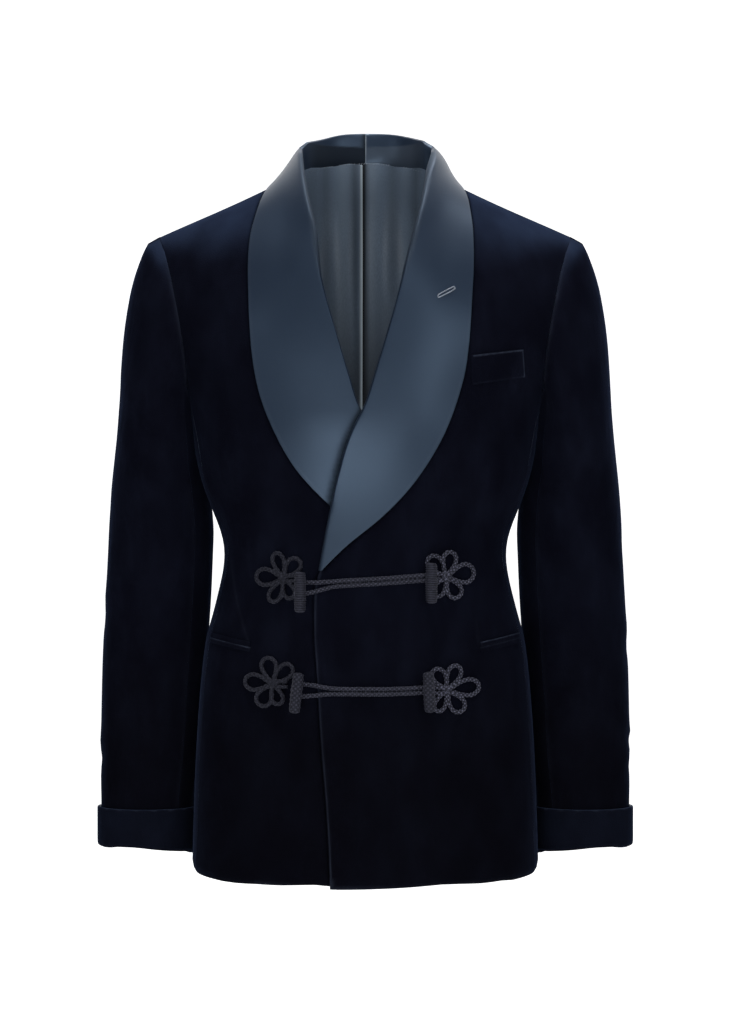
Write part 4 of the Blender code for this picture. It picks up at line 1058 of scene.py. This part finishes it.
def body_folds(found):
    """Shift of body points into their folds."""
    shift = np.zeros(len(found))
    for fold in read(BODY_FOLD_COLUMNS, BODY_FOLDS):
        way = math.radians(fold["direction"])
        x = found[:, 0] - fold["x"]
        z = found[:, 2] - fold["height"]
        along = (x * math.cos(way) + z * math.sin(way)) / fold["reach"]
        across = (z * math.cos(way) - x * math.sin(way)) / fold["width"]
        faces = smooth_step(0.0, BODY_TURN, found[:, 1] * (-1.0 if fold["face"] == "front" else 1.0))
        shift += fold["depth"] * fold_shape(across) * bell(along, 0.0, 1.0) * faces
    return torso_out(found) * (shift * bpy.context.scene.jacket_cloth.folds)[:, None]


def hem_turned(found, kind, side):
    """Points of the body with the hem eased inward at the sides and level in front."""
    low = smooth_step(CAD_BOX[0].z + HEM_TURN, CAD_BOX[0].z, found[:, 2]) ** 2
    wide = smooth_step(*HEM_SIDES, np.abs(found[:, 0]))
    found = found.copy()
    if kind == "front":
        found[:, 2] += smooth_step(*HEM_FROM, found[:, 2]) * np.interp(found[:, 0], *HEM_LIFT[side])
    found[:, 0] -= np.sign(found[:, 0]) * HEM_TAKE * low * wide
    return found


def roll_out(found):
    """Points of the right lapel with its roll eased outward above the lap."""
    high = smooth_step(*ROLL_HEIGHTS, found[:, 2]) * smooth_step(*ROLL_LOW, found[:, 2])
    near = bell(found[:, 0], np.interp(found[:, 2], *ROLL_LINE), ROLL_REACH)
    found = found.copy()
    found[:, 0] -= ROLL_TAKE * high * near
    return found


def corners_drawn(found, side):
    """Points of a collar half with its upper corner drawn to its place."""
    found = found.copy()
    x, z = found[:, 0].copy(), found[:, 2].copy()
    if side == "right":
        found[:, 2] -= CORNER_DOWN * bell(x, *CORNER_DOWN_AT) * smooth_step(*CORNER_DOWN_FROM, z)
    else:
        found[:, 0] += CORNER_OUT * bell(z, *CORNER_OUT_AT) * smooth_step(*CORNER_OUT_FROM, x)
    return found


def lining_draped(found, side):
    """Points of the back lining with its drape, its pleat and its felled upper edge."""
    shift = np.zeros(len(found))
    for drape in read(LINING_DRAPE_COLUMNS, LINING_DRAPES):
        shift += drape["depth"] * bell(found[:, 0], drape["x"], drape["width"])
    shift *= smooth_step(*LINING_DRAPE_TOP, found[:, 2]) * bpy.context.scene.jacket_cloth.folds
    if side == "right":
        lift = PLEAT_LIFT * bell(found[:, 0], PLEAT_EDGE, PLEAT_REACH)
        shift += lift * smooth_step(*PLEAT_FADE, found[:, 2])
        found[:, 0] -= PLEAT_PULL * smooth_step(PLEAT_PULL_FROM, PLEAT_EDGE, found[:, 0])
    aside = np.minimum((found[:, 0] / LINING_HALF) ** 2, LINING_MOST)
    felled = smooth_step(*LINING_TOP, found[:, 2] + LINING_DROP * aside)
    found[:, 1] -= shift + (LINING_EASE[0] + LINING_EASE[1] * aside) * felled
    found[:, 2] += np.interp(np.abs(found[:, 0]), *LINING_RISE) * felled
    return found


def mark_lining(mesh, side):
    """Marks the light and the dark of the back lining's pleat and drape."""
    found = places(mesh)
    across = found[:, 0]
    fold = smooth_step(*PLEAT_FOLD_FROM, across) if side == "right" else 0.0 * across
    streaks = [(share, bell(across, x, wide)) for x, wide, share in LINING_STREAKS]
    light = sum(share * near for share, near in streaks if share > 0.0)
    mark(mesh, "rim", np.maximum(fold, light))
    deep = LINING_DEEP * smooth_step(*LINING_DARKENS, found[:, 2])
    deep = np.maximum(deep, sum(-share * near for share, near in streaks if share < 0.0))
    if side == "right":
        dark = PLEAT_HOLLOW * bell(across, PLEAT_HOLLOW_AT, PLEAT_HOLLOW_WIDE)
    else:
        dark = smooth_step(*PLEAT_SHADE, across)
    mark(mesh, "shade", np.maximum(deep, dark) * (1.0 - fold))


def drawn_ahead(points):
    """Points close together along a line that is given by x and height."""
    return [(x, 0.0, z) for x, z in through(points, RIM_SAMPLE)]


def front_shade(found, side):
    """Shadow on a front beside its collar, and under the lap of the other front."""
    shade = nearness_ahead(found, node_rim("collar_" + side), COLLAR_SHADE)
    if side == "right":
        lap = [p for p in node_rim("front_left") if p.x < 0.0 and p.y < 0.0]
        shade = np.maximum(shade, FRONT_DARK * nearness_ahead(found, lap, FRONT_SHADE))
    return shade


def mark_collar(mesh, found, line, side):
    """Marks the velvet inside the stand (partly painted shade), the turn of the roll dulled and given
    painted shade, the painted shadows and shade, and the painted highlight on the edges.
    """
    inside = smooth_step(*STAND_AT, found[:, 1]) * smooth_step(*STAND_FACING, facings(mesh)[:, 1])
    inside *= smooth_step(*STAND_TOP, found[:, 2])
    end = STAND_END[side] * smooth_step(*STAND_END_AT, np.abs(found[:, 0]))
    mark(mesh, "stand", (STAND_SHARE[side] + end) * inside)
    # Painted shade and dulling on the turn of the roll, in place of its highlight
    dull_and_shade = ROLL_SHADE * smooth_step(*ROLL_FADE, found[:, 2]) * smooth_step(*ROLL_BACK, found[:, 1])
    dull_and_shade *= nearness_ahead(found, drawn_ahead(ROLL_TURN[side]), ROLL_WIDE)
    shade = np.maximum(dull_and_shade, STAND_DEEP[side] * inside)
    if side == "right":
        shade = np.maximum(shade, nearness_ahead(found, node_rim("collar_left"), LAP_SHADE))
    else:
        # Painted shade towards the left lapel's tip
        shade = np.maximum(shade, TIP_DARK * smooth_step(*TIP_AT, found[:, 2]))
    mark(mesh, "shade", shade)
    seamed = (np.abs(line[:, 0]) < SEAM_NEAR) & (line[:, 2] > 0.0)
    light = np.where(seamed, COLLAR_SEAM_LIGHT, COLLAR_EDGE)
    mark_rim(mesh, line, light, OPEN_WIDE, STAND_LIGHT[side] * inside)


def body_facing(centres, kind, side):
    """Which inner faces of the body stay velvet: the hem, and the facing of a front."""
    hem = centres[:, 2] < CAD_BOX[0].z + HEM_ALLOWANCE
    return hem | ((kind == "front") & (centres[:, 0] * FLIP[side] < FACING_WIDTH))


def line_inside(mesh, out_of, facing):
    """Gives the inner face its lining, apart from the hems and facings that facing tells."""
    centres = triples(mesh.polygons, "center")
    inner = np.sum(triples(mesh.polygons, "normal") * out_of(centres), axis=1) < INWARD
    inner &= (centres[:, 2] < SHOULDER_LOW) | (np.abs(centres[:, 0]) < SHOULDER_OUT)
    mesh.polygons.foreach_set("material_index", (inner & ~facing(centres)).astype(np.int32))


def thin_inside(mesh, out_of):
    """A panel with a coarser mesh on its inner face, where no fine line shows."""
    inner = np.sum(facings(mesh) * out_of(places(mesh)), axis=1) < HIDDEN_FACING
    holder = linked(mesh.name + "_holder", mesh)
    holder.vertex_groups.new(name="inner").add(np.flatnonzero(inner).tolist(), 1.0, "REPLACE")
    thin = holder.modifiers.new("thin", "DECIMATE")
    thin.vertex_group = "inner"
    thin.ratio = 1.0 - HIDDEN_CUT * float(np.mean(inner))
    thinned = evaluated(holder)
    bpy.data.objects.remove(holder)
    bpy.data.meshes.remove(mesh)
    return thinned


def surface_of(*pieces):
    """Search trees of finished pieces."""
    trees = []
    for name in pieces:
        mesh = bpy.data.objects[name].data
        mesh.calc_loop_triangles()
        corners = [tuple(t.vertices) for t in mesh.loop_triangles]
        trees.append(BVHTree.FromPolygons([tuple(p) for p in places(mesh)], corners))
    return trees


def front_hit(tree, x, z):
    """Where a level line from in front meets a piece."""
    place, normal, _, _ = tree.ray_cast(Vector((x, -1.0, z)), Vector((0.0, 1.0, 0.0)))
    return place, normal


# Cords

def lengths(run):
    """Distance along a run at each of its points."""
    return np.concatenate([[0.0], np.cumsum(np.linalg.norm(np.diff(run, axis=0), axis=1))])


def through(rows, step):
    """Even points on a smooth run through rows of points."""
    rows = [np.asarray(r, float) for r in rows]
    last = len(rows) - 1
    run = []
    for i in range(last):
        a, b, c, d = rows[max(i - 1, 0)], rows[i], rows[i + 1], rows[min(i + 2, last)]
        for t in np.linspace(0.0, 1.0, RUN_STEPS, endpoint=False):
            run.append(0.5 * (2.0 * b + (c - a) * t + (2.0 * a - 5.0 * b + 4.0 * c - d) * t ** 2
                              + (3.0 * b - a - 3.0 * c + d) * t ** 3))
    run.append(rows[-1])
    run = np.array(run)
    far = lengths(run)
    at = np.linspace(0.0, far[-1], max(RUN_LEAST, int(far[-1] / step)))
    return np.stack([np.interp(at, far, run[:, i]) for i in range(run.shape[1])], 1)


def plait(turn, far, strands, pitch):
    """Height of a plait of crossing strands, 0 in its grooves and 1 on its strands."""
    return (0.5 * (np.cos(strands * turn) + np.cos(2.0 * math.pi * far / pitch))) ** 2


def swept(name, routes, radius, roundness):
    """Round cord swept along routes, as one mesh."""
    curve = bpy.data.curves.new(name, "CURVE")
    curve.dimensions = "3D"
    curve.bevel_depth = radius
    curve.bevel_resolution = roundness
    curve.use_fill_caps = True
    for route in routes:
        spline = curve.splines.new("POLY")
        spline.points.add(len(route) - 1)
        spline.points.foreach_set("co", np.concatenate([route, np.ones((len(route), 1))], 1).ravel())
    drawn = linked(name, curve)
    mesh = evaluated(drawn)
    bpy.data.objects.remove(drawn)
    bpy.data.curves.remove(curve)
    bm = merged(mesh)
    bmesh.ops.recalc_face_normals(bm, faces=bm.faces[:])
    bm.to_mesh(mesh)
    bm.free()
    mesh.name = name
    return mesh


def round_routes(mesh, routes):
    """For each point of a cord: its distance along the route, its turn round it, its centre."""
    centres = np.concatenate(routes)
    far = np.concatenate([lengths(r) for r in routes])
    ways = unit(np.concatenate([np.gradient(r, axis=0) for r in routes]))
    tree = point_tree(centres)
    found = places(mesh)
    near = np.array([tree.find(p)[1] for p in found])
    out = unit(np.array((0.0, -1.0, 0.0)) - ways[near] * -ways[near][:, 1:2])
    over = np.cross(ways[near], out)
    away = found - centres[near]
    turn = np.arctan2(np.sum(away * over, 1), np.sum(away * out, 1))
    return far[near], turn, centres[near]


def braided(name, routes, radius, dark):
    """Cord of plaited strands along routes, its strands raised in the mesh."""
    mesh = swept(name, routes, radius, CORD_ROUND)
    far, turn, centre = round_routes(mesh, routes)
    height = plait(turn, far, STRANDS, PLAIT_PITCH)
    found = places(mesh)
    put_places(mesh, centre + (found - centre) * (1.0 - PLAIT_DEPTH * (1.0 - height))[:, None])
    # Painted shade in the grooves, with at least the given darkening all over
    mark(mesh, "groove", np.maximum(smooth_step(*PLAIT_GROOVE, height), dark))
    dressed(mesh, "cord")
    return mesh


def laid(flat, centre, lift, tree):
    """Flat points laid on a front, at a lift off it."""
    route = []
    for (x, z), rise in zip(flat, lift):
        place, normal = front_hit(tree, centre[0] + x, centre[1] + z)
        route.append(place + normal * rise)
    return np.array([tuple(p) for p in route])


def barrel_radius(ring, share, make):
    """Radius of a barrel at one of its rings, at a share of its half length from the middle."""
    wide = BARREL_RADIUS * (1.0 - BARREL_TAPER * share ** 2)
    wide *= math.sqrt(max(0.0, 1.0 - (max(0.0, abs(share) - BARREL_END) / BARREL_CAP) ** 2))
    if make == "wrapped":
        wide -= WRAP_DEPTH * (1.0 - abs(math.sin(math.pi * ring / WRAP_STEPS)))
    return max(wide, BARREL_TIP)


# Handwork

def buttonhole():
    """Thread worked round a buttonhole on the left lapel."""
    lapel, = surface_of("satin_collar_left")
    inner = np.array(BUTTONHOLE_INNER)
    outer = np.array(BUTTONHOLE_OUTER)
    along = (outer - inner) / np.linalg.norm(outer - inner)
    over = np.array((-along[1], along[0])) * BUTTONHOLE_HALF_WIDTH
    end = along * BUTTONHOLE_HALF_WIDTH
    loop = [inner + over, outer + over, outer + end, outer - over, inner - over, inner - end,
            inner + over]
    flat = through(loop, THREAD_STEP)
    route = laid(flat, (0.0, 0.0), np.full(len(flat), THREAD_SINK * THREAD_RADIUS), lapel)
    mesh = swept("thread_buttonhole", [route], THREAD_RADIUS, THREAD_ROUND)
    far, turn, centre = round_routes(mesh, [route])
    ribs = 0.5 + 0.5 * np.cos(2.0 * math.pi * far / THREAD_WRAP + turn)
    put_places(mesh, centre + (places(mesh) - centre) * (1.0 - THREAD_RIB + THREAD_RIB * ribs)[:, None])
    dressed(mesh, "thread")
    stand("thread_buttonhole", mesh)


def felling():
    """Stitches that fell the lining to the collar stand."""
    bm = bmesh.new()
    trees = surface_of("satin_collar_left", "satin_collar_right", "satin_lining_back_left",
                       "satin_lining_back_right")
    for i in range(FELL_COUNT):
        share = 2.0 * (i + 0.5) / FELL_COUNT - 1.0
        start = Vector((share * FELL_REACH, 0.0, FELL_TOP - FELL_DROP * share ** 2))
        hits = [t.ray_cast(start, Vector((0.0, 1.0, 0.0)))[0] for t in trees]
        hits = [h for h in hits if h is not None]
        if not hits:
            continue
        lean = FELL_LEAN * (1.0 if i % 2 else FELL_EVEN)
        form = (Matrix.Translation(min(hits, key=lambda h: h.y)) @ Matrix.Rotation(lean, 4, "Y")
                @ Matrix.Diagonal((FELL_WIDE, FELL_WIDE, FELL_LONG / 2.0, 1.0)))
        bmesh.ops.create_uvsphere(bm, u_segments=FELL_FACETS[0], v_segments=FELL_FACETS[1], radius=1.0,
                                  matrix=form)
    mesh = mesh_of(bm, "thread_felling")
    dressed(mesh, "thread")
    stand("thread_felling", mesh)


# Stage

def paper(bm, name, rise, glow):
    """Puts a finished paper ground in the scene, glowing from one depth to another."""
    mesh = mesh_of(bm, name)
    mesh.polygons.foreach_set("use_smooth", np.ones(len(mesh.polygons), bool))
    pale, tree, shader = new_material(name, PALE, ROUGH["paper"])
    settle(shader, {"Emission Color": WHITE})
    tree.links.new(ramped(tree, "Y", rise, (0.0, glow)), shader.inputs["Emission Strength"])
    mesh.materials.append(pale)
    ground = linked(name, mesh)
    return ground


def of_kind(kind, geometry):
    return [g for g in geometry if isinstance(g, kind)]


def pulled(bm, edges, vec):
    """Extrudes edges by a vector, and gives the new edges and points."""
    made = bmesh.ops.extrude_edge_only(bm, edges=edges)["geom"]
    verts = of_kind(bmesh.types.BMVert, made)
    bmesh.ops.translate(bm, verts=verts, vec=vec)
    return of_kind(bmesh.types.BMEdge, made) + verts


def pale_cove(stage):
    """The paper that lights the jacket, which the camera doesn't see."""
    bm = bmesh.new()
    front = [bm.verts.new((x, COVE_NEAR, stage.floor)) for x in (-COVE_HALF, COVE_HALF)]
    back = pulled(bm, [bm.edges.new(front)], (0.0, COVE_FAR - COVE_NEAR, 0.0))
    made = bmesh.ops.spin(bm, geom=back, cent=(0.0, COVE_FAR, stage.floor + COVE_BEND),
                          axis=(1.0, 0.0, 0.0), dvec=(0.0, 0.0, 0.0), angle=math.pi / 2, steps=COVE_STEPS)
    pulled(bm, of_kind(bmesh.types.BMEdge, made["geom_last"]), (0.0, 0.0, COVE_HIGH))
    cove = paper(bm, "pale_cove", GLOW_RISE, stage.glow)
    cove.visible_camera = False


def pale_floor(stage):
    """What shows all round: the floor, turned up into a wall far off, which casts no light."""
    bm = bmesh.new()
    rows = [(0.0, 0.0), (ROOM, 0.0)]
    rows += [(ROOM + ROOM_BEND * math.sin(a), ROOM_BEND * (1.0 - math.cos(a)))
             for a in np.linspace(0.0, math.pi / 2, ROOM_STEPS)[1:]]
    rows.append((ROOM + ROOM_BEND, ROOM_HIGH))
    line = [bm.verts.new((out, 0.0, stage.floor + up)) for out, up in rows]
    edges = [bm.edges.new(pair) for pair in zip(line, line[1:])]
    bmesh.ops.spin(bm, geom=line + edges, cent=(0.0, 0.0, stage.floor), axis=(0.0, 0.0, 1.0),
                   dvec=(0.0, 0.0, 0.0), angle=2.0 * math.pi, steps=ROOM_SIDES, use_merge=True)
    bmesh.ops.remove_doubles(bm, verts=bm.verts[:], dist=MERGE)
    bmesh.ops.recalc_face_normals(bm, faces=bm.faces[:])
    floor = paper(bm, "pale_floor", ROOM_GLOW, stage.room_glow)
    floor.visible_diffuse = False
    floor.visible_glossy = False
    floor.visible_transmission = False
    floor.visible_shadow = False


def studio_light(stage):
    """Soft lamps, and a little light from all round."""
    for name, place, aim, wide, high, power in LIGHTS:
        data = bpy.data.lights.new(name, "AREA")
        data.shape = "RECTANGLE"
        data.size = wide
        data.size_y = high
        data.energy = power
        lamp = linked(name, data)
        lamp.location = place
        lamp.visible_camera = False
        lamp.rotation_euler = (Vector(aim) - Vector(place)).to_track_quat("-Z", "Y").to_euler()
    world = bpy.data.worlds.new("studio_air")
    world.use_nodes = True
    settle(world.node_tree.nodes["Background"], {"Color": WHITE, "Strength": stage.ambient})
    bpy.context.scene.world = world


def photo_camera(stage):
    """A level camera straight in front."""
    data = bpy.data.cameras.new("photo_camera")
    data.sensor_fit = "VERTICAL"
    data.sensor_height = SENSOR
    data.lens = data.sensor_height * stage.distance / stage.span
    data.shift_x = stage.shift
    camera = linked("photo_camera", data)
    camera.location = (0.0, -stage.distance, stage.height)
    camera.rotation_euler = (math.pi / 2, 0.0, 0.0)
    bpy.context.scene.camera = camera


# Operators

class JACKET_OT_body(bpy.types.Operator):
    """Fronts, side bodies and backs in velvet, lined inside"""
    bl_idname = "jacket.body"
    bl_label = "Body"

    def execute(self, context):
        cloth = context.scene.jacket_cloth
        for side in FLIP:
            for kind in ("front", "side", "back"):
                node = kind + "_" + side
                fineness = cloth.close_fineness if kind == "front" else cloth.fineness
                mesh = cloth_mesh(node, "velvet_" + node, fineness, cloth.rim)
                found = places(mesh)
                found = hem_turned(found + body_folds(found), kind, side)
                found = roll_out(found) if node == "front_right" else found
                put_places(mesh, found)
                dart = 0.0
                if kind == "front":
                    dart = DART_EDGE * nearness_ahead(found, drawn_ahead(DARTS[side]), DART_WIDE)
                    mark(mesh, "shade", front_shade(found, side))
                mark_rim(mesh, node_rim(node), edge_light(node), least=dart)
                mark_upward_highlight(mesh)
                dressed(mesh, "velvet", "lining")
                line_inside(mesh, torso_out, lambda centres: body_facing(centres, kind, side))
                mesh = thin_inside(mesh, torso_out) if kind == "front" else mesh
                piece = stand("velvet_" + node, mesh, [node])
        return {"FINISHED"}


class JACKET_OT_sleeves(bpy.types.Operator):
    """Two-piece sleeves and their turn-back cuffs"""
    bl_idname = "jacket.sleeves"
    bl_label = "Sleeves"

    def execute(self, context):
        cloth = context.scene.jacket_cloth
        for side in FLIP:
            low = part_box("cuff_" + side)[0].z + SLEEVE_FACING
            for kind in ("top_sleeve", "under_sleeve", "cuff"):
                node = kind + "_" + side
                mesh = cloth_mesh(node, "velvet_" + node, cloth.fineness, cloth.rim)
                if kind == "top_sleeve":
                    sleeve_head(mesh, side)
                found = places(mesh)
                put_places(mesh, sleeve_rest(found + sleeve_folds(found, side), side))
                mark_rim(mesh, node_rim(node), edge_light(node))
                mark_upward_highlight(mesh, CUFF_HIGHLIGHT if kind == "cuff" else 0.0)
                dressed(mesh, "velvet", "lining")
                line_inside(mesh, lambda centres: unit(centres - sleeve_centre(centres, side)),
                            lambda centres: centres[:, 2] < low)
                piece = stand("velvet_" + node, mesh, [node])
        return {"FINISHED"}


class JACKET_OT_collar(bpy.types.Operator):
    """Satin shawl collar, seamed at centre back"""
    bl_idname = "jacket.collar"
    bl_label = "Collar"

    def execute(self, context):
        cloth = context.scene.jacket_cloth
        for side in FLIP:
            node = "collar_" + side
            mesh = cloth_mesh(node, "satin_" + node, cloth.close_fineness, cloth.rim)
            found = places(mesh)
            seam = smooth_step(*COLLAR_SEAM, np.abs(found[:, 0]))
            softened(mesh, smooth_step(*COLLAR_EASE, found[:, 2]) * seam, COLLAR_ROUNDS)
            line = np.array([tuple(p) for p in node_rim(node)])
            found = corners_drawn(places(mesh), side)
            if side == "right":
                found, line = roll_out(found), roll_out(line)
            put_places(mesh, found)
            mark_collar(mesh, found, line, side)
            dressed(mesh, "satin")
            piece = stand("satin_" + node, mesh, [node])
        return {"FINISHED"}


class JACKET_OT_lining(bpy.types.Operator):
    """Back lining with its centre pleat and soft drape"""
    bl_idname = "jacket.lining"
    bl_label = "Lining"

    def execute(self, context):
        cloth = context.scene.jacket_cloth
        for side in FLIP:
            node = "lining_back_" + side
            mesh = cloth_mesh(node, "satin_" + node, cloth.close_fineness, cloth.trim_rim)
            put_places(mesh, lining_draped(places(mesh), side))
            mark_lining(mesh, side)
            dressed(mesh, "lining")
            piece = stand("satin_" + node, mesh, [node])
        return {"FINISHED"}


class JACKET_OT_pockets(bpy.types.Operator):
    """Chest welt and the jets of the hip pockets"""
    bl_idname = "jacket.pockets"
    bl_label = "Pockets"

    def execute(self, context):
        cloth = context.scene.jacket_cloth
        nodes = {"chest_welt": "front_left"}
        for side in FLIP:
            for edge in ("upper", "lower"):
                nodes["hip_jet_" + edge + "_" + side] = "front_" + side
        for node, carrier in nodes.items():
            fineness = cloth.close_fineness if node == "chest_welt" else cloth.fineness
            mesh = cloth_mesh(node, "velvet_" + node, fineness, cloth.trim_rim)
            found = places(mesh)
            put_places(mesh, found + body_folds(found))
            line = node_rim(node)
            at = np.array([(p.x, p.z) for p in line])
            over = at[:, 1] - np.polyval(np.polyfit(at[:, 0], at[:, 1], 1), at[:, 0])
            top = smooth_step(*POCKET_TOP_FROM, over / over.max())
            light = np.maximum(POCKET_TOP[node] * top, POCKET_EDGE * POCKET_TOP[node])
            if node == "chest_welt":
                light[at[:, 0] > at[:, 0].max() - WELT_END[0]] = WELT_END[1]
                light[at[:, 0] < at[:, 0].min() + WELT_END[0]] = 0.0
            mark_rim(mesh, line, light, OPEN_WIDE)
            dressed(mesh, "velvet")
            piece = stand("velvet_" + node, mesh, [node])
        return {"FINISHED"}


class JACKET_OT_rosettes(bpy.types.Operator):
    """Five-petalled rosettes of braided cord"""
    bl_idname = "jacket.rosettes"
    bl_label = "Rosettes"

    def execute(self, context):
        for name, centre in ROSETTES.items():
            side = name.split("_")[1]
            flip = FLIP[side]
            tree, = surface_of("velvet_front_" + side)
            routes = []
            for k, petal in enumerate(read(PETAL_COLUMNS, PETALS[name])):
                angle = math.radians(petal["angle"])
                out = np.array((math.cos(angle), math.sin(angle)))
                over = np.array((-out[1], out[0]))
                reach = petal["length"] - CORD_RADIUS
                wide = petal["half_width"] - CORD_RADIUS
                loop = through([out * reach * a + over * wide * b for a, b in PETAL_OUTLINE], CORD_STEP)
                near = smooth_step(*CROSS_WITHIN, np.linalg.norm(loop, axis=1) / reach)
                crossing = np.linspace(-1.0, 1.0, len(loop)) * near * CROSS_LIFT * (1.0 if k % 2 else -1.0)
                lift = CORD_RADIUS + FROG_LIE + crossing
                routes.append(laid(loop * np.array((flip, 1.0)), centre, lift, tree))
            for start, end, high in NECKS:
                stops = (start, 0.5 * (start + end), end)
                neck = through([(-flip * stop, high) for stop in stops], CORD_STEP)
                routes.append(laid(neck, centre, np.full(len(neck), CORD_RADIUS + FROG_LIE), tree))
            mesh = braided("cord_rosette_" + name, routes, CORD_RADIUS, ROSETTE_DARK[side])
            stand("cord_rosette_" + name, mesh, ["rosette_" + name])
        return {"FINISHED"}


class JACKET_OT_cords(bpy.types.Operator):
    """Double cords that cross the fronts and loop round the toggles"""
    bl_idname = "jacket.cords"
    bl_label = "Double cords"

    def execute(self, context):
        over, under = surface_of("velvet_front_left", "velvet_front_right")
        for name, rows in CORDS.items():
            at = read(CORD_COLUMNS, rows)
            top = [(r["x"], r["z"] + r["spread"]) for r in at]
            low = [(r["x"], r["z"] - r["spread"]) for r in at]
            tip = (at[-1]["x"] - at[-1]["spread"], at[-1]["z"])
            flat = through(top + [tip] + low[::-1], CORD_STEP)
            middle = at[LAP_ROW]["z"]
            step = front_hit(under, LAP_PROBE, middle)[0].y - front_hit(over, LAP_PROBE, middle)[0].y
            route = []
            for x, z in flat:
                place, normal = front_hit(over, x, z)
                if place is None:
                    place, normal = front_hit(under, x, z)
                    place = place + Vector((0.0, -step, 0.0))
                route.append(tuple(place + normal * (LOOP_RADIUS + FROG_LIE)))
            route = np.array(route)
            for _ in range(CORD_ROUNDS):
                route[1:-1] = 0.25 * route[:-2] + 0.5 * route[1:-1] + 0.25 * route[2:]
            mesh = braided("cord_frog_" + name, [route], LOOP_RADIUS, LOOP_DARK)
            stand("cord_frog_" + name, mesh, ["frog_cord_" + name])
        return {"FINISHED"}


class JACKET_OT_barrels(bpy.types.Operator):
    """Corded barrels and toggles"""
    bl_idname = "jacket.barrels"
    bl_label = "Barrels and toggles"

    def execute(self, context):
        for node, lean, seat, make in BARRELS:
            low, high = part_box(node)
            bm = bmesh.new()
            rings = WRAPS * WRAP_STEPS
            last = None
            for i in range(rings + 1):
                share = 2.0 * i / rings - 1.0
                vert = bm.verts.new((barrel_radius(i, share, make), 0.0, share * BARREL_LENGTH / 2.0))
                if last:
                    bm.edges.new((last, vert))
                last = vert
            bmesh.ops.spin(bm, geom=bm.verts[:] + bm.edges[:], cent=(0.0, 0.0, 0.0), axis=(0.0, 0.0, 1.0),
                           dvec=(0.0, 0.0, 0.0), angle=2.0 * math.pi, steps=BARREL_SIDES, use_merge=True)
            bmesh.ops.remove_doubles(bm, verts=bm.verts[:], dist=MERGE)
            bmesh.ops.holes_fill(bm, edges=[e for e in bm.edges if e.is_boundary], sides=0)
            bmesh.ops.recalc_face_normals(bm, faces=bm.faces[:])
            mesh = mesh_of(bm, "cord_" + node)
            found = places(mesh)
            if make == "wrapped":
                height = np.abs(np.sin(math.pi * WRAPS * (found[:, 2] / BARREL_LENGTH + 0.5)))
            else:
                turn = np.arctan2(found[:, 1], found[:, 0])
                height = plait(turn, found[:, 2], BARREL_STRANDS, BARREL_PITCH)
                found[:, :2] *= (1.0 - BARREL_PLAIT * (1.0 - height))[:, None]
            # Painted shade in the grooves between the strands
            groove = smooth_step(*BARREL_GROOVE[make], height)
            mark(mesh, "groove", np.maximum(groove, BARREL_DARK[make]))
            leant = found @ np.array(Matrix.Rotation(math.radians(-lean), 3, "Y")).T
            put_places(mesh, leant + np.array((low + high) / 2.0) + np.array((seat, 0.0, 0.0)))
            dressed(mesh, "cord")
            stand("cord_" + node, mesh, [node])
        return {"FINISHED"}


class JACKET_OT_handwork(bpy.types.Operator):
    """Worked buttonhole on the left lapel and felling stitches under the collar stand"""
    bl_idname = "jacket.handwork"
    bl_label = "Handwork"

    def execute(self, context):
        buttonhole()
        felling()
        return {"FINISHED"}


class JACKET_OT_stage(bpy.types.Operator):
    """Pale floor and backdrop, soft studio light and the camera"""
    bl_idname = "jacket.stage"
    bl_label = "Stage"

    def execute(self, context):
        stage = context.scene.jacket_stage
        pale_cove(stage)
        pale_floor(stage)
        studio_light(stage)
        photo_camera(stage)
        context.scene.view_settings.view_transform = "Standard"
        context.scene.view_settings.look = "None"
        return {"FINISHED"}


OPERATORS = (JACKET_OT_stage, JACKET_OT_body, JACKET_OT_sleeves, JACKET_OT_collar, JACKET_OT_lining,
             JACKET_OT_pockets, JACKET_OT_rosettes, JACKET_OT_cords, JACKET_OT_barrels, JACKET_OT_handwork)


class JACKET_PT_panel(bpy.types.Panel):
    """Lists the jacket's settings and makers"""
    bl_idname = "JACKET_PT_panel"
    bl_label = "Jacket"
    bl_space_type = "VIEW_3D"
    bl_region_type = "UI"
    bl_category = "Jacket"

    def draw(self, context):
        for group in (context.scene.jacket_cloth, context.scene.jacket_colours, context.scene.jacket_stage):
            box = self.layout.box()
            for key in group.bl_rna.properties.keys():
                if key not in ("rna_type", "name"):
                    box.prop(group, key)
        for maker in OPERATORS:
            self.layout.operator(maker.bl_idname)


CLASSES = (JacketCloth, JacketColours, JacketStage, *OPERATORS, JACKET_PT_panel)


def register():
    for made in CLASSES:
        bpy.utils.register_class(made)
    bpy.types.Scene.jacket_cloth = PointerProperty(type=JacketCloth)
    bpy.types.Scene.jacket_colours = PointerProperty(type=JacketColours)
    bpy.types.Scene.jacket_stage = PointerProperty(type=JacketStage)


def unregister():
    del bpy.types.Scene.jacket_stage
    del bpy.types.Scene.jacket_colours
    del bpy.types.Scene.jacket_cloth
    for made in reversed(CLASSES):
        bpy.utils.unregister_class(made)


def main():
    register()
    bpy.ops.jacket.stage()
    bpy.ops.jacket.body()
    bpy.ops.jacket.sleeves()
    bpy.ops.jacket.collar()
    bpy.ops.jacket.lining()
    bpy.ops.jacket.pockets()
    bpy.ops.jacket.rosettes()
    bpy.ops.jacket.cords()
    bpy.ops.jacket.barrels()
    bpy.ops.jacket.handwork()


if __name__ == "__main__":
    main()
